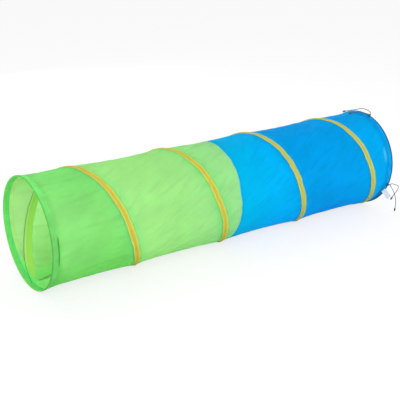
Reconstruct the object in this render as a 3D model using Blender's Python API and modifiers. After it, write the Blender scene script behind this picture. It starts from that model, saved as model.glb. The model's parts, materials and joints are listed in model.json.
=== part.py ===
"""Pop-up crawl tunnel for children: a spring wire screw sewn into a two-colour fabric tube.

The tunnel lies on the floor along X with its green mouth at -X. It is closed by nothing: a child
crawls through it. The spring wire makes a closed ring in each hem and four screw turns between
them, and the tunnel is stored by pressing it flat along X. The fabric, wire and casing are split
at each full turn, because each turn slides towards the next one when the tunnel is pressed flat.

Units are metres, +Z is up, the floor is z = 0 and the origin lies under the tunnel's middle.
Angles go round the tunnel's axis from the floor line, past the far side (+Y) to the top.
"""
import math

import bmesh
import bpy
import numpy as np
from mathutils import Matrix, Vector

# Whole tunnel
TUNNEL_LENGTH = 1.800
WIRE_RING_DIAMETER = 0.462
SPRING_TURNS = 4
FRONT_LEAD = 0.011
REAR_LEAD = 0.027
CLEARANCE = 0.0003
TURN_GAP = 0.0004

# Wire and ferrules
WIRE_DIAMETER = 0.002
WIRE_SPACING_GAP = 0.0004
FERRULE_WALL = 0.0005
FERRULE_LENGTH = 0.024
FERRULE_SLIT = 0.0006
FERRULE_TO_HEM = 0.0007
FRONT_EASE_STEPS = 1
REAR_EASE_STEPS = 3

# Fabric, casing and hems
FABRIC_THICKNESS = 0.0008
FABRIC_DIP = 0.008
CASING_WIDTH = 0.028
CASING_THICKNESS = 0.0008
CASING_RIDGE_ROOM = 0.0005
CASING_RIDGE_FLANK = 0.0030
CASING_REAR_RUN_STEPS = 2
HEM_WIDTH = 0.026
HEM_THICKNESS = 0.001
HEM_FOLD_RADIUS = 0.001

# Care label
LABEL_WIDTH = 0.024
LABEL_REACH = 0.038
LABEL_THICKNESS = 0.0006
LABEL_ANGLE = math.radians(300)
LABEL_SLANT = math.radians(42)
LABEL_DROOP = math.radians(38)
LABEL_INSET = 0.021
LABEL_BENDS = 6

# Ties
CORD_DIAMETER = 0.0026
KNOT_RADIUS = 0.0040
TIP_LENGTH = 0.018
TIP_RADIUS = 0.0032
TIP_RIB_HEIGHT = 0.0006
TIP_RIBS = 3
TIP_END_SHARE = 0.62
TIP_END_SLOPE = 3.0
TIP_END_BEVEL = 0.04
TAB_WIDTH = 0.009
TAB_SPAN = 0.014
TAB_HEIGHT = 0.0055
TAB_THICKNESS = 0.001
TAB_INSET = 0.0095
UPPER_TIE_ANGLE = math.radians(196)
LOWER_TIE_ANGLE = math.radians(291.5)

# Facets
STEPS_PER_TURN = 36
STEP = 2 * math.pi / STEPS_PER_TURN
START_ANGLE = -STEP / 2
PANEL_ROWS = (0.0, 0.2, 0.5, 0.8, 1.0)
SMALL_PART_SIDES = 12
KNOT_ROWS = 8
CORD_SPACING = 2.8
CORD_FINE_STEPS = 16
MERGE = 0.00001

# Sizes that follow from the ones above
WIRE_RADIUS = WIRE_DIAMETER / 2
RING_RADIUS = WIRE_RING_DIAMETER / 2
PITCH = (TUNNEL_LENGTH - FRONT_LEAD - REAR_LEAD) / SPRING_TURNS
LEAD_ANGLE = math.atan2(PITCH, 2 * math.pi * RING_RADIUS)
FABRIC_RADIUS = RING_RADIUS - WIRE_RADIUS - CLEARANCE
CASING_BASE_RADIUS = FABRIC_RADIUS + CLEARANCE
CASING_TOP_RADIUS = RING_RADIUS + WIRE_RADIUS + CLEARANCE
FERRULE_HEIGHT = WIRE_RADIUS + CLEARANCE + FERRULE_WALL
WIRE_SPACING = WIRE_DIAMETER + WIRE_SPACING_GAP
RING_INSET = HEM_THICKNESS + FERRULE_TO_HEM + FERRULE_HEIGHT
FABRIC_START = RING_INSET + WIRE_SPACING + FERRULE_HEIGHT + CLEARANCE
HEM_POCKET_RADIUS = RING_RADIUS + FERRULE_HEIGHT + CLEARANCE
HEM_MOUTH_RADIUS = CASING_TOP_RADIUS + CLEARANCE
HEM_OUTER_RADIUS = HEM_POCKET_RADIUS + HEM_THICKNESS
HEM_LINING_RADIUS = FABRIC_RADIUS - FABRIC_THICKNESS - CLEARANCE
HEM_INNER_RADIUS = HEM_LINING_RADIUS - HEM_THICKNESS
AXIS_HEIGHT = HEM_OUTER_RADIUS * math.cos(STEP / 2)

# Routes of the four tie tails, chosen by hand. On the upper tie each point is the distance behind
# the rear rim, the height above the hem and the angle in degrees. On the lower tie each point is
# the distance behind the rear rim, Y and the height above the floor.
UPPER_TAIL_A = (
    (0.0035, 0.0085, 194.6), (0.0075, 0.0105, 191.5), (0.0110, 0.0118, 187.0), (0.0125, 0.0118, 182.5),
    (0.0115, 0.0100, 178.0), (0.0080, 0.0066, 174.0), (0.0020, 0.0034, 170.8), (-0.0070, 0.0023, 168.2),
    (-0.0180, 0.0022, 166.2), (-0.0300, 0.0023, 164.6), (-0.0420, 0.0024, 163.4))
UPPER_TAIL_B = (
    (-0.0045, 0.0052, 194.2), (-0.0075, 0.0032, 192.3), (-0.0110, 0.0022, 189.6), (-0.0150, 0.0022, 186.4),
    (-0.0205, 0.0022, 183.8), (-0.0290, 0.0021, 182.6), (-0.0400, 0.0015, 182.7), (-0.0510, 0.0009, 182.6),
    (-0.0620, 0.0004, 181.5), (-0.0680, 0.0002, 180.6))
LOWER_TAIL_A = (
    (0.0018, -0.2235, 0.1430), (0.0075, -0.2238, 0.1345), (0.0141, -0.2243, 0.1246),
    (0.0240, -0.2250, 0.1108), (0.0327, -0.2260, 0.0955), (0.0380, -0.2272, 0.0820),
    (0.0415, -0.2288, 0.0670), (0.0430, -0.2304, 0.0525), (0.0420, -0.2324, 0.0385),
    (0.0395, -0.2340, 0.0270), (0.0370, -0.2352, 0.0205))
LOWER_TAIL_B = (
    (0.0012, -0.2270, 0.1490), (0.0070, -0.2290, 0.1505), (0.0150, -0.2308, 0.1482),
    (0.0254, -0.2322, 0.1430), (0.0360, -0.2332, 0.1395), (0.0450, -0.2340, 0.1345),
    (0.0495, -0.2344, 0.1255), (0.0455, -0.2348, 0.1160), (0.0370, -0.2352, 0.1070),
    (0.0268, -0.2358, 0.0985), (0.0160, -0.2366, 0.0905), (0.0085, -0.2372, 0.0840))

GREEN = (0.165, 0.730, 0.150)
PALE_GREEN = (0.300, 0.830, 0.235)
BLUE = (0.000, 0.335, 0.850)
DEEP_BLUE = (0.000, 0.230, 0.700)
YELLOW = (0.640, 0.520, 0.055)
STEEL = (0.550, 0.560, 0.580)
CORD_BLUE = (0.035, 0.070, 0.130)
WHITE = (0.850, 0.860, 0.880)


def clear_scene():
    """Remove whatever the scene starts with."""
    for item in list(bpy.data.objects):
        bpy.data.objects.remove(item, do_unlink=True)


def make_material(name, colour, roughness, metallic=0.0):
    """Principled material of one colour."""
    material = bpy.data.materials.new(name)
    material.use_nodes = True
    shader = material.node_tree.nodes["Principled BSDF"]
    shader.inputs["Base Color"].default_value = (*colour, 1.0)
    shader.inputs["Roughness"].default_value = roughness
    shader.inputs["Metallic"].default_value = metallic
    material.diffuse_color = (*colour, 1.0)
    return material


def add_object(name, data, frame, colour, roughness=0.7, metallic=0.0):
    """Add a named object that hangs on its body's frame and is placed in tunnel coordinates."""
    item = bpy.data.objects.new(name, data)
    PARTS.objects.link(item)
    item.parent = frame
    item.location = (-frame["station"], 0, 0)
    data.materials.append(make_material(name, colour, roughness, metallic))
    return item


def add_mesh(name, source, frame, colour, roughness=0.7):
    """Turn a bmesh into a named object, shaded smooth up to a sharp angle."""
    mesh = bpy.data.meshes.new(name)
    source.to_mesh(mesh)
    source.free()
    mesh.shade_smooth()
    mesh.set_sharp_from_angle(angle=math.radians(40))
    return add_object(name, mesh, frame, colour, roughness)


def around(x, radius, angle):
    """Point at a distance from the mouth, a radius and an angle round the tunnel's axis."""
    return Vector((x, radius * math.sin(angle), -radius * math.cos(angle)))


def local_axes(x, radius, angle):
    """Placement whose X runs along the tunnel, Y outwards and Z round it."""
    along = Vector((1, 0, 0))
    outward = around(0, 1, angle)
    round_it = along.cross(outward)
    axes = Matrix((along, outward, round_it)).transposed().to_4x4()
    axes.translation = around(x, radius, angle)
    return axes


def turn_plane(turn):
    """Distance from the mouth to the plane where a wire turn starts."""
    return FRONT_LEAD + turn * PITCH


def screw_x(steps):
    """Distance from the mouth to the wire, a number of facet steps from the screw's start."""
    return FRONT_LEAD + PITCH * steps / STEPS_PER_TURN


def wire_x(steps):
    """Like screw_x, but easing into the plane beside each closed ring."""
    beside_ring = RING_INSET + WIRE_SPACING
    last = SPRING_TURNS * STEPS_PER_TURN
    if steps < 0:
        ease = max(0.0, 1 + steps / FRONT_EASE_STEPS)
        return beside_ring + (FRONT_LEAD - beside_ring) * ease ** 2
    if steps > last:
        ease = max(0.0, 1 - (steps - last) / REAR_EASE_STEPS)
        return TUNNEL_LENGTH - beside_ring - (REAR_LEAD - beside_ring) * ease ** 2
    return screw_x(steps)


def wire_points(first, last):
    """Points of the wire centre from one facet step to another, with each end drawn in."""
    points = [around(wire_x(n), RING_RADIUS, START_ANGLE + n * STEP) for n in range(first, last + 1)]
    points[0] += (points[1] - points[0]).normalized() * TURN_GAP / 2
    points[-1] += (points[-2] - points[-1]).normalized() * TURN_GAP / 2
    return points


def add_tube(name, points, diameter, resolution, frame, colour, roughness=0.5, metallic=0.0, closed=False):
    """Round wire or cord along a polyline."""
    curve = bpy.data.curves.new(name, "CURVE")
    curve.dimensions = "3D"
    curve.bevel_depth = diameter / 2
    curve.bevel_resolution = resolution
    curve.use_fill_caps = not closed
    spline = curve.splines.new("POLY")
    spline.points.add(len(points) - 1)
    for target, point in zip(spline.points, points):
        target.co = (*point, 1.0)
    spline.use_cyclic_u = closed
    return add_object(name, curve, frame, colour, roughness, metallic)


def add_spring(frames):
    """The two closed end rings and the screw turns of the spring wire."""
    for name, x, frame in (("front_end_ring", RING_INSET, frames[0]),
                           ("rear_end_ring", TUNNEL_LENGTH - RING_INSET, frames[-1])):
        ring = [around(x, RING_RADIUS, START_ANGLE + n * STEP) for n in range(STEPS_PER_TURN)]
        add_tube(name, ring, WIRE_DIAMETER, 1, frame, STEEL, 0.3, 1.0, closed=True)
    for turn in range(SPRING_TURNS):
        first = turn * STEPS_PER_TURN
        last = first + STEPS_PER_TURN
        if turn == 0:
            first -= FRONT_EASE_STEPS + 1
        if turn == SPRING_TURNS - 1:
            last += REAR_EASE_STEPS + 1
        add_tube(f"spring_wire_turn_{turn + 1}", wire_points(first, last), WIRE_DIAMETER, 1,
                 frames[turn], STEEL, 0.3, 1.0)


def least_turn_gap():
    """Least clear distance between neighbouring screw turns of the wire, from its points."""
    steps = SPRING_TURNS * STEPS_PER_TURN
    centre = np.array([around(wire_x(n), RING_RADIUS, START_ANGLE + n * STEP) for n in range(steps + 1)])
    gaps = [np.linalg.norm(centre[n + STEPS_PER_TURN // 2:] - centre[n], axis=1).min()
            for n in range(steps - STEPS_PER_TURN // 2)]
    return min(gaps) - WIRE_DIAMETER


def ferrule_outline():
    """Outline of an open crimp sleeve round two wires side by side, slit towards the axis."""
    inner = WIRE_RADIUS + CLEARANCE
    outer = inner + FERRULE_WALL
    reach = WIRE_SPACING / 2
    slit = FERRULE_SLIT / 2

    def side(radius, direction):
        """Half of the sleeve from the slit to the top, on one side."""
        low = [(slit * direction, -radius), (reach * direction, -radius)]
        bend = [(direction * (reach + radius * math.cos(a)), radius * math.sin(a))
                for a in np.radians((-45, 0, 45))]
        return low + bend + [(reach * direction, radius)]

    return side(outer, 1) + side(outer, -1)[::-1] + side(inner, -1) + side(inner, 1)[::-1]


def add_outline(name, outline, depth, placement, frame, colour, roughness=0.7, metallic=0.0):
    """Flat outline, thickened to a depth along its own Z, and placed."""
    curve = bpy.data.curves.new(name, "CURVE")
    curve.dimensions = "2D"
    curve.fill_mode = "BOTH"
    curve.extrude = depth / 2
    spline = curve.splines.new("POLY")
    spline.points.add(len(outline) - 1)
    for target, point in zip(spline.points, outline):
        target.co = (*point, 0.0, 1.0)
    spline.use_cyclic_u = True
    item = add_object(name, curve, frame, colour, roughness, metallic)
    item.matrix_local = Matrix.Translation(item.location) @ placement
    return item


def add_ferrules(frames):
    """One sleeve near each end, round the closed ring and the screw's lead-in."""
    middle = RING_INSET + WIRE_SPACING / 2
    chord_radius = RING_RADIUS * math.cos(STEP / 2)
    front_angle = START_ANGLE - (FRONT_EASE_STEPS + 0.5) * STEP
    rear_angle = START_ANGLE + (REAR_EASE_STEPS + 0.5) * STEP
    for name, x, angle, frame in (
            ("front_ferrule", middle, front_angle, frames[0]),
            ("rear_ferrule", TUNNEL_LENGTH - middle, rear_angle, frames[-1])):
        add_outline(name, ferrule_outline(), FERRULE_LENGTH, local_axes(x, chord_radius, angle), frame,
                    STEEL, 0.35, 1.0)


def wall_radius(x, angle_steps):
    """Outer radius of the fabric, which dips between one wire crossing and the next."""
    part_turn = angle_steps % STEPS_PER_TURN
    stops = [HEM_WIDTH]
    for turn in range(-1, SPRING_TURNS + 1):
        crossing = screw_x(part_turn + turn * STEPS_PER_TURN)
        if HEM_WIDTH < crossing < TUNNEL_LENGTH - HEM_WIDTH:
            stops.append(crossing)
    stops.append(TUNNEL_LENGTH - HEM_WIDTH)
    for start, end in zip(stops, stops[1:]):
        if start <= x <= end:
            span = end - start
            share = (x - start) / span
            return FABRIC_RADIUS - FABRIC_DIP * (span / PITCH) ** 2 * 4 * share * (1 - share)
    return FABRIC_RADIUS


def cross_edges(shape, x, **clear):
    """Add edges where a plane across the tunnel meets a bmesh, and drop one side if told to."""
    everything = shape.verts[:] + shape.edges[:] + shape.faces[:]
    bmesh.ops.bisect_plane(shape, geom=everything, dist=CLEARANCE, plane_co=(x, 0, 0), plane_no=(1, 0, 0),
                           **clear)


def clip(shape, x, keep_rear):
    """Cut a bmesh by a plane across the tunnel and set its rim exactly on the plane."""
    cross_edges(shape, x, clear_inner=keep_rear, clear_outer=not keep_rear)
    for vert in shape.verts:
        if abs(vert.co.x - x) <= CLEARANCE:
            vert.co.x = x


def screw_sheet():
    """Open helical sheet that covers the whole tube, with a row of edges along the wire."""
    sheet = bmesh.new()
    rows = [sheet.verts.new(around(screw_x(-STEPS_PER_TURN) + share * PITCH, FABRIC_RADIUS, START_ANGLE))
            for share in PANEL_ROWS]
    for one, two in zip(rows, rows[1:]):
        sheet.edges.new((one, two))
    turns = SPRING_TURNS + 2
    bmesh.ops.spin(sheet, geom=sheet.verts[:] + sheet.edges[:], cent=(0, 0, 0), axis=(1, 0, 0),
                   dvec=(PITCH / STEPS_PER_TURN, 0, 0), angle=turns * 2 * math.pi,
                   steps=turns * STEPS_PER_TURN)
    bmesh.ops.remove_doubles(sheet, verts=sheet.verts[:], dist=MERGE)
    return sheet


def add_fabric(frames):
    """The fabric tube, one piece per wire turn, green in the front half and blue in the rear half."""
    whole = screw_sheet()
    clip(whole, FABRIC_START, keep_rear=True)
    clip(whole, TUNNEL_LENGTH - FABRIC_START, keep_rear=False)
    cross_edges(whole, HEM_WIDTH)
    cross_edges(whole, TUNNEL_LENGTH - HEM_WIDTH)
    for turn in range(SPRING_TURNS):
        panel = whole.copy()
        if turn > 0:
            clip(panel, turn_plane(turn) + TURN_GAP / 2, keep_rear=True)
        if turn < SPRING_TURNS - 1:
            clip(panel, turn_plane(turn + 1) - TURN_GAP / 2, keep_rear=False)
        for vert in panel.verts:
            steps = (math.atan2(vert.co.y, -vert.co.z) - START_ANGLE) / STEP
            shrink = wall_radius(vert.co.x, steps) / FABRIC_RADIUS
            vert.co.y *= shrink
            vert.co.z *= shrink
        bmesh.ops.recalc_face_normals(panel, faces=panel.faces[:])
        green = turn < SPRING_TURNS / 2
        name = f"{'green' if green else 'blue'}_fabric_turn_{turn + 1}"
        item = add_mesh(name, panel, frames[turn], PALE_GREEN if green else BLUE)
        wall = item.modifiers.new("wall", "SOLIDIFY")
        wall.thickness = FABRIC_THICKNESS
        wall.offset = -1
        wall.use_even_offset = True
    whole.free()


def casing_outline():
    """Section of the wire casing: two flat sewn edges and a ridge over the wire."""
    half_width = CASING_WIDTH / 2 / math.cos(LEAD_ANGLE)
    ridge = WIRE_RADIUS / math.cos(LEAD_ANGLE) + CASING_RIDGE_ROOM
    flank = ridge + CASING_RIDGE_FLANK

    def layer(lift):
        """One face of the casing, from front edge to rear edge."""
        low = CASING_BASE_RADIUS + lift
        high = CASING_TOP_RADIUS + lift
        return [(-half_width, low), (-flank, low), (-ridge, high), (ridge, high), (flank, low),
                (half_width, low)]

    return layer(CASING_THICKNESS) + layer(0.0)[::-1]


def close_ends(shape):
    """Fill every open rim of a bmesh and turn its faces outwards."""
    rims = [edge for edge in shape.edges if edge.is_boundary]
    if rims:
        bmesh.ops.holes_fill(shape, edges=rims, sides=0)
    bmesh.ops.recalc_face_normals(shape, faces=shape.faces[:])


def add_casing(frames):
    """The yellow binding over the wire, one piece per wire turn, cut off square at the hems."""
    for turn in range(SPRING_TURNS):
        first = turn * STEPS_PER_TURN
        steps = STEPS_PER_TURN
        if turn == SPRING_TURNS - 1:
            steps += CASING_REAR_RUN_STEPS
        casing = bmesh.new()
        start_angle = START_ANGLE + first * STEP
        section = [casing.verts.new(around(screw_x(first) + dx, radius, start_angle))
                   for dx, radius in casing_outline()]
        for one, two in zip(section, section[1:] + section[:1]):
            casing.edges.new((one, two))
        spun = bmesh.ops.spin(casing, geom=casing.verts[:] + casing.edges[:], cent=(0, 0, 0),
                              axis=(1, 0, 0), dvec=(PITCH / STEPS_PER_TURN, 0, 0), angle=steps * STEP,
                              steps=steps)
        last_section = [v for v in spun["geom_last"] if isinstance(v, bmesh.types.BMVert)]
        trim = TURN_GAP / 2 / RING_RADIUS
        bmesh.ops.rotate(casing, verts=section, cent=(0, 0, 0), matrix=Matrix.Rotation(trim, 3, "X"))
        bmesh.ops.rotate(casing, verts=last_section, cent=(0, 0, 0), matrix=Matrix.Rotation(-trim, 3, "X"))
        close_ends(casing)
        if turn == 0:
            clip(casing, HEM_WIDTH + CLEARANCE, keep_rear=True)
            close_ends(casing)
        if turn == SPRING_TURNS - 1:
            clip(casing, TUNNEL_LENGTH - HEM_WIDTH - CLEARANCE, keep_rear=False)
            close_ends(casing)
        add_mesh(f"wire_casing_turn_{turn + 1}", casing, frames[turn], YELLOW)


def hem_outline():
    """Section of a hem folded over the end ring: distance from the rim, and radius."""
    fold = HEM_FOLD_RADIUS
    return [(HEM_WIDTH, HEM_MOUTH_RADIUS + HEM_THICKNESS), (HEM_WIDTH / 2, HEM_OUTER_RADIUS),
            (fold, HEM_OUTER_RADIUS), (0, HEM_OUTER_RADIUS - fold), (0, HEM_INNER_RADIUS + fold),
            (fold, HEM_INNER_RADIUS), (HEM_WIDTH, HEM_INNER_RADIUS), (HEM_WIDTH, HEM_LINING_RADIUS),
            (HEM_THICKNESS, HEM_LINING_RADIUS), (HEM_THICKNESS, HEM_POCKET_RADIUS),
            (HEM_WIDTH / 2, HEM_POCKET_RADIUS), (HEM_WIDTH, HEM_MOUTH_RADIUS)]


def add_hem(name, rim_x, direction, frame, colour):
    """A hem as a turned section, open towards the fabric that is tucked into it."""
    outline = [around(rim_x + direction * depth, radius, START_ANGLE) for depth, radius in hem_outline()]
    if direction > 0:
        outline = outline[::-1]
    mesh = bpy.data.meshes.new(name)
    edges = [(n, (n + 1) % len(outline)) for n in range(len(outline))]
    mesh.from_pydata(outline, edges, [])
    item = add_object(name, mesh, frame, colour)
    turned = item.modifiers.new("turn", "SCREW")
    turned.axis = "X"
    turned.angle = 2 * math.pi
    turned.steps = STEPS_PER_TURN
    turned.render_steps = STEPS_PER_TURN
    turned.use_merge_vertices = True
    turned.merge_threshold = MERGE
    turned.use_normal_calculate = True
    return item


def add_label(frame):
    """Blank care label, sewn at a slant to the rear hem and drooping towards its rear corner."""
    root = HEM_OUTER_RADIUS * math.cos(STEP / 2) + CLEARANCE
    placement = local_axes(TUNNEL_LENGTH - LABEL_INSET, root, LABEL_ANGLE)
    bend = math.tan(LABEL_DROOP) / LABEL_REACH

    def face(side):
        """One face of the label, as a parabola that leaves the hem at a right angle."""
        points = []
        for height in np.linspace(0, LABEL_REACH, LABEL_BENDS + 1):
            slope = 2 * bend * height
            shift = side * LABEL_THICKNESS / 2 / math.hypot(1, slope)
            points.append((shift - bend * height ** 2, height + shift * slope))
        return points

    outline = face(-1) + face(1)[::-1]
    turn = Matrix.Rotation(LABEL_SLANT + math.pi / 2, 4, "Y")
    return add_outline("care_label", outline, LABEL_WIDTH, placement @ turn, frame, WHITE, 0.5)


def tab_outline():
    """Section of a tape loop: an arch that stands on the hem, open underneath."""
    inner_height = TAB_HEIGHT - TAB_THICKNESS
    half = TAB_SPAN / 2
    wall = TAB_THICKNESS
    arch = half - 2 * wall

    def bow(radius, height):
        """Rounded top of the arch."""
        return [(radius * math.cos(a), height * math.sin(a)) for a in np.radians((30, 60, 90, 120, 150))]

    outer = [(half, 0), (half, wall), (arch + wall, wall)] + bow(arch + wall, TAB_HEIGHT)
    outer += [(-arch - wall, wall), (-half, wall), (-half, 0)]
    inner = [(-arch, 0)] + bow(arch, inner_height)[::-1] + [(arch, 0)]
    return outer + inner


def smooth_route(route, spacing):
    """Evenly spaced points on a smooth curve through the route's own points."""
    route = np.array([tuple(point) for point in route])
    ends = np.vstack((2 * route[0] - route[1], route, 2 * route[-1] - route[-2]))
    fine = []
    for before, start, end, after in zip(ends, ends[1:], ends[2:], ends[3:]):
        for t in np.linspace(0, 1, CORD_FINE_STEPS, endpoint=False):
            fine.append(0.5 * (2 * start + (end - before) * t
                               + (2 * before - 5 * start + 4 * end - after) * t ** 2
                               + (3 * start - before - 3 * end + after) * t ** 3))
    fine = np.array(fine + [route[-1]])
    travelled = np.concatenate(([0], np.cumsum(np.linalg.norm(np.diff(fine, axis=0), axis=1))))
    count = max(2, round(travelled[-1] / spacing))
    stations = np.linspace(0, travelled[-1], count + 1)
    return [Vector(np.array([np.interp(s, travelled, fine[:, k]) for k in range(3)])) for s in stations]


def tip_profile():
    """Half section of a tail's end knot: distance along it, and radius, with round ribs."""
    profile = [(0.0, 0.0)]
    count = 4 * TIP_RIBS
    for n in range(count + 1):
        share = n / count
        rib = TIP_RIB_HEIGHT * abs(math.sin(math.pi * TIP_RIBS * share))
        shoulder = min(1.0, TIP_END_SHARE + TIP_END_SLOPE * min(share, 1 - share))
        along = TIP_LENGTH * (TIP_END_BEVEL + (1 - 2 * TIP_END_BEVEL) * share)
        profile.append((along, (TIP_RADIUS - TIP_RIB_HEIGHT) * shoulder + rib))
    profile.append((TIP_LENGTH, 0.0))
    return profile


def add_tip(name, end, direction, frame):
    """Knot at the end of a tail, turned about the tail's own direction."""
    profile = tip_profile()
    mesh = bpy.data.meshes.new(name)
    points = [(radius, 0, along) for along, radius in profile]
    mesh.from_pydata(points, [(n, n + 1) for n in range(len(points) - 1)], [])
    item = add_object(name, mesh, frame, CORD_BLUE)
    turned = item.modifiers.new("turn", "SCREW")
    turned.axis = "Z"
    turned.steps = SMALL_PART_SIDES
    turned.render_steps = SMALL_PART_SIDES
    turned.use_merge_vertices = True
    turned.merge_threshold = MERGE
    turned.use_normal_calculate = True
    aim = direction.to_track_quat("Z", "Y").to_matrix().to_4x4()
    aim.translation = end + direction * CLEARANCE
    item.matrix_local = Matrix.Translation(item.location) @ aim
    return item


def knot_centre(angle):
    """Middle of the knot that ties a cord to its tape loop, close behind the loop."""
    x = TUNNEL_LENGTH - TAB_INSET + CLEARANCE + KNOT_RADIUS
    return around(x, HEM_OUTER_RADIUS + CLEARANCE + KNOT_RADIUS, angle)


def add_tail(name, tie_angle, route, frame):
    """One tie tail, from the skin of its knot on, and the knot at its end."""
    centre = knot_centre(tie_angle)
    start = centre + (route[0] - centre).normalized() * (KNOT_RADIUS + CLEARANCE)
    points = smooth_route([start, *route], CORD_SPACING * CORD_DIAMETER)
    add_tube(f"tie_tail_{name}", points, CORD_DIAMETER, 2, frame, CORD_BLUE, 0.8)
    add_tip(f"tail_knot_{name}", points[-1], (points[-1] - points[-2]).normalized(), frame)


def add_tie(name, angle, frame):
    """Tape loop on the rear hem and the knot that ties the cord to it."""
    seat = HEM_OUTER_RADIUS + CLEARANCE
    tab_x = TUNNEL_LENGTH - TAB_INSET - TAB_WIDTH / 2
    placement = local_axes(tab_x, seat, angle)
    turn = Matrix(((0, 0, 1, 0), (0, 1, 0, 0), (-1, 0, 0, 0), (0, 0, 0, 1)))
    add_outline(f"tie_tab_{name}", tab_outline(), TAB_WIDTH, placement @ turn, frame, DEEP_BLUE)
    knot = bmesh.new()
    bmesh.ops.create_uvsphere(knot, u_segments=SMALL_PART_SIDES, v_segments=KNOT_ROWS, radius=KNOT_RADIUS)
    bmesh.ops.translate(knot, verts=knot.verts[:], vec=knot_centre(angle))
    add_mesh(f"tie_knot_{name}", knot, frame, CORD_BLUE)


def upper_route(points):
    """Upper tail route in tunnel coordinates."""
    return [around(TUNNEL_LENGTH + behind, HEM_OUTER_RADIUS + lift, math.radians(angle))
            for behind, lift, angle in points]


def lower_route(points):
    """Lower tail route in tunnel coordinates."""
    return [Vector((TUNNEL_LENGTH + behind, y, height - AXIS_HEIGHT)) for behind, y, height in points]


def make_frames():
    """One empty for the tunnel and one for each moving body, at the plane where its turn starts."""
    tunnel = bpy.data.objects.new("tunnel_frame", None)
    PARTS.objects.link(tunnel)
    tunnel.location = (-TUNNEL_LENGTH / 2, 0, AXIS_HEIGHT)
    frames = []
    previous = 0.0
    parent = tunnel
    stations = [0.0] + [turn_plane(turn) for turn in range(1, SPRING_TURNS)] + [TUNNEL_LENGTH]
    names = ["front_end_frame"] + [f"turn_{turn + 1}_frame" for turn in range(1, SPRING_TURNS)]
    for name, station in zip(names + ["rear_end_frame"], stations):
        frame = bpy.data.objects.new(name, None)
        PARTS.objects.link(frame)
        frame.parent = parent
        frame.location = (station - previous, 0, 0)
        frame["station"] = station
        frames.append(frame)
        previous = station
        parent = frame
    return frames


def build_tunnel():
    """Build every piece of the tunnel."""
    frames = make_frames()
    front, rear = frames[0], frames[-1]
    add_spring(frames)
    add_ferrules(frames)
    add_fabric(frames)
    add_casing(frames)
    add_hem("front_hem", 0.0, 1, front, GREEN)
    add_hem("rear_hem", TUNNEL_LENGTH, -1, rear, DEEP_BLUE)
    add_label(rear)
    add_tie("upper", UPPER_TIE_ANGLE, rear)
    add_tie("lower", LOWER_TIE_ANGLE, rear)
    add_tail("upper_a", UPPER_TIE_ANGLE, upper_route(UPPER_TAIL_A), rear)
    add_tail("upper_b", UPPER_TIE_ANGLE, upper_route(UPPER_TAIL_B), rear)
    add_tail("lower_a", LOWER_TIE_ANGLE, lower_route(LOWER_TAIL_A), rear)
    add_tail("lower_b", LOWER_TIE_ANGLE, lower_route(LOWER_TAIL_B), rear)
    print(f"Neighbouring wire turns stay {least_turn_gap() * 1000:.1f} mm apart")


clear_scene()
PARTS = bpy.data.collections.new("play_tunnel")
bpy.context.scene.collection.children.link(PARTS)
build_tunnel()
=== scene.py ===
"""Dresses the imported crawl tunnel: cloth, wire binding, hems, seams, ties, label and the stage.

Shapes are built in tunnel coordinates, in metres: X is the depth behind the front rim, and the
tunnel's axis is the X axis. Angles go round it from the floor line, past the far side (+Y) and the
top, to the near side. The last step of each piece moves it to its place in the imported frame.
"""
import json
import math

import bmesh
import bpy
from bpy.props import FloatProperty, FloatVectorProperty, IntProperty, PointerProperty
from mathutils import Matrix, Vector, noise

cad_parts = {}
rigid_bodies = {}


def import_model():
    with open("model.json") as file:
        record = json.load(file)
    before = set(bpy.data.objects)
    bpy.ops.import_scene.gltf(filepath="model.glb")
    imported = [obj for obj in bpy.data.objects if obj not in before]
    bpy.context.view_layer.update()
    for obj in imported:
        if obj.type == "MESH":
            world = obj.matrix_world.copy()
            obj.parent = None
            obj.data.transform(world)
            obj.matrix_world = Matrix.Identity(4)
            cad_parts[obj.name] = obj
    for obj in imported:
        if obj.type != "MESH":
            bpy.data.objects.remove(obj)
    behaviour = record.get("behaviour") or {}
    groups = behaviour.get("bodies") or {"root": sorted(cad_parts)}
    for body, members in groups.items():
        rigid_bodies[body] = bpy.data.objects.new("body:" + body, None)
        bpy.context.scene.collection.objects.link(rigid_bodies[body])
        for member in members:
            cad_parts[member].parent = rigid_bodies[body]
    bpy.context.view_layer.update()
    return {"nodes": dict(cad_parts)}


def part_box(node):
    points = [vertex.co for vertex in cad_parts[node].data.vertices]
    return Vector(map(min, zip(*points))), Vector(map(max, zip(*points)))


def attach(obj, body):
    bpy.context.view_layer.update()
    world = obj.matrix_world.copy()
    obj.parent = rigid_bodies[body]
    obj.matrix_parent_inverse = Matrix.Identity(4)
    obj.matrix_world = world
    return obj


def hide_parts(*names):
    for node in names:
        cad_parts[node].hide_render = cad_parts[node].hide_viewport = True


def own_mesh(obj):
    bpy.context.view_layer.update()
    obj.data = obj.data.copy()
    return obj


bl_info = {
    "name": "Crawl tunnel",
    "version": (1, 0, 0),
    "blender": (4, 5, 0),
    "location": "3D View > Sidebar > Tunnel",
    "description": "Dresses a pop-up crawl tunnel in sewn cloth",
    "category": "Object",
}

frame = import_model()
FRONT_HEM_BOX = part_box("front_hem")
REAR_HEM_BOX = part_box("rear_hem")

TAU = math.tau
ALONG = Vector((1, 0, 0))

# Angle where the wire screw starts, and stitches in a group
SCREW_START = math.radians(-5)
STITCH_GROUP = 36

# Heights over the cloth's outer face, where it is stretched over the wire
HEM_LIFT = 0.00439
WIRE_LIFT = 0.0013
FACING_LIFT = -0.0016
FACING_SAG = 0.0024

# Thickness of the cloth and of the hem's cloth, thread spacing, and gap beside a sewn edge
CLOTH_WALL = 0.0005
HEM_WALL = 0.0006
THREAD_SPACING = 0.0009
GAP = 0.0003

# Hem: bend round the end ring, and depth of its stitches
HEM_BEND = 0.0031
HEM_STITCHES = 0.0212

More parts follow.
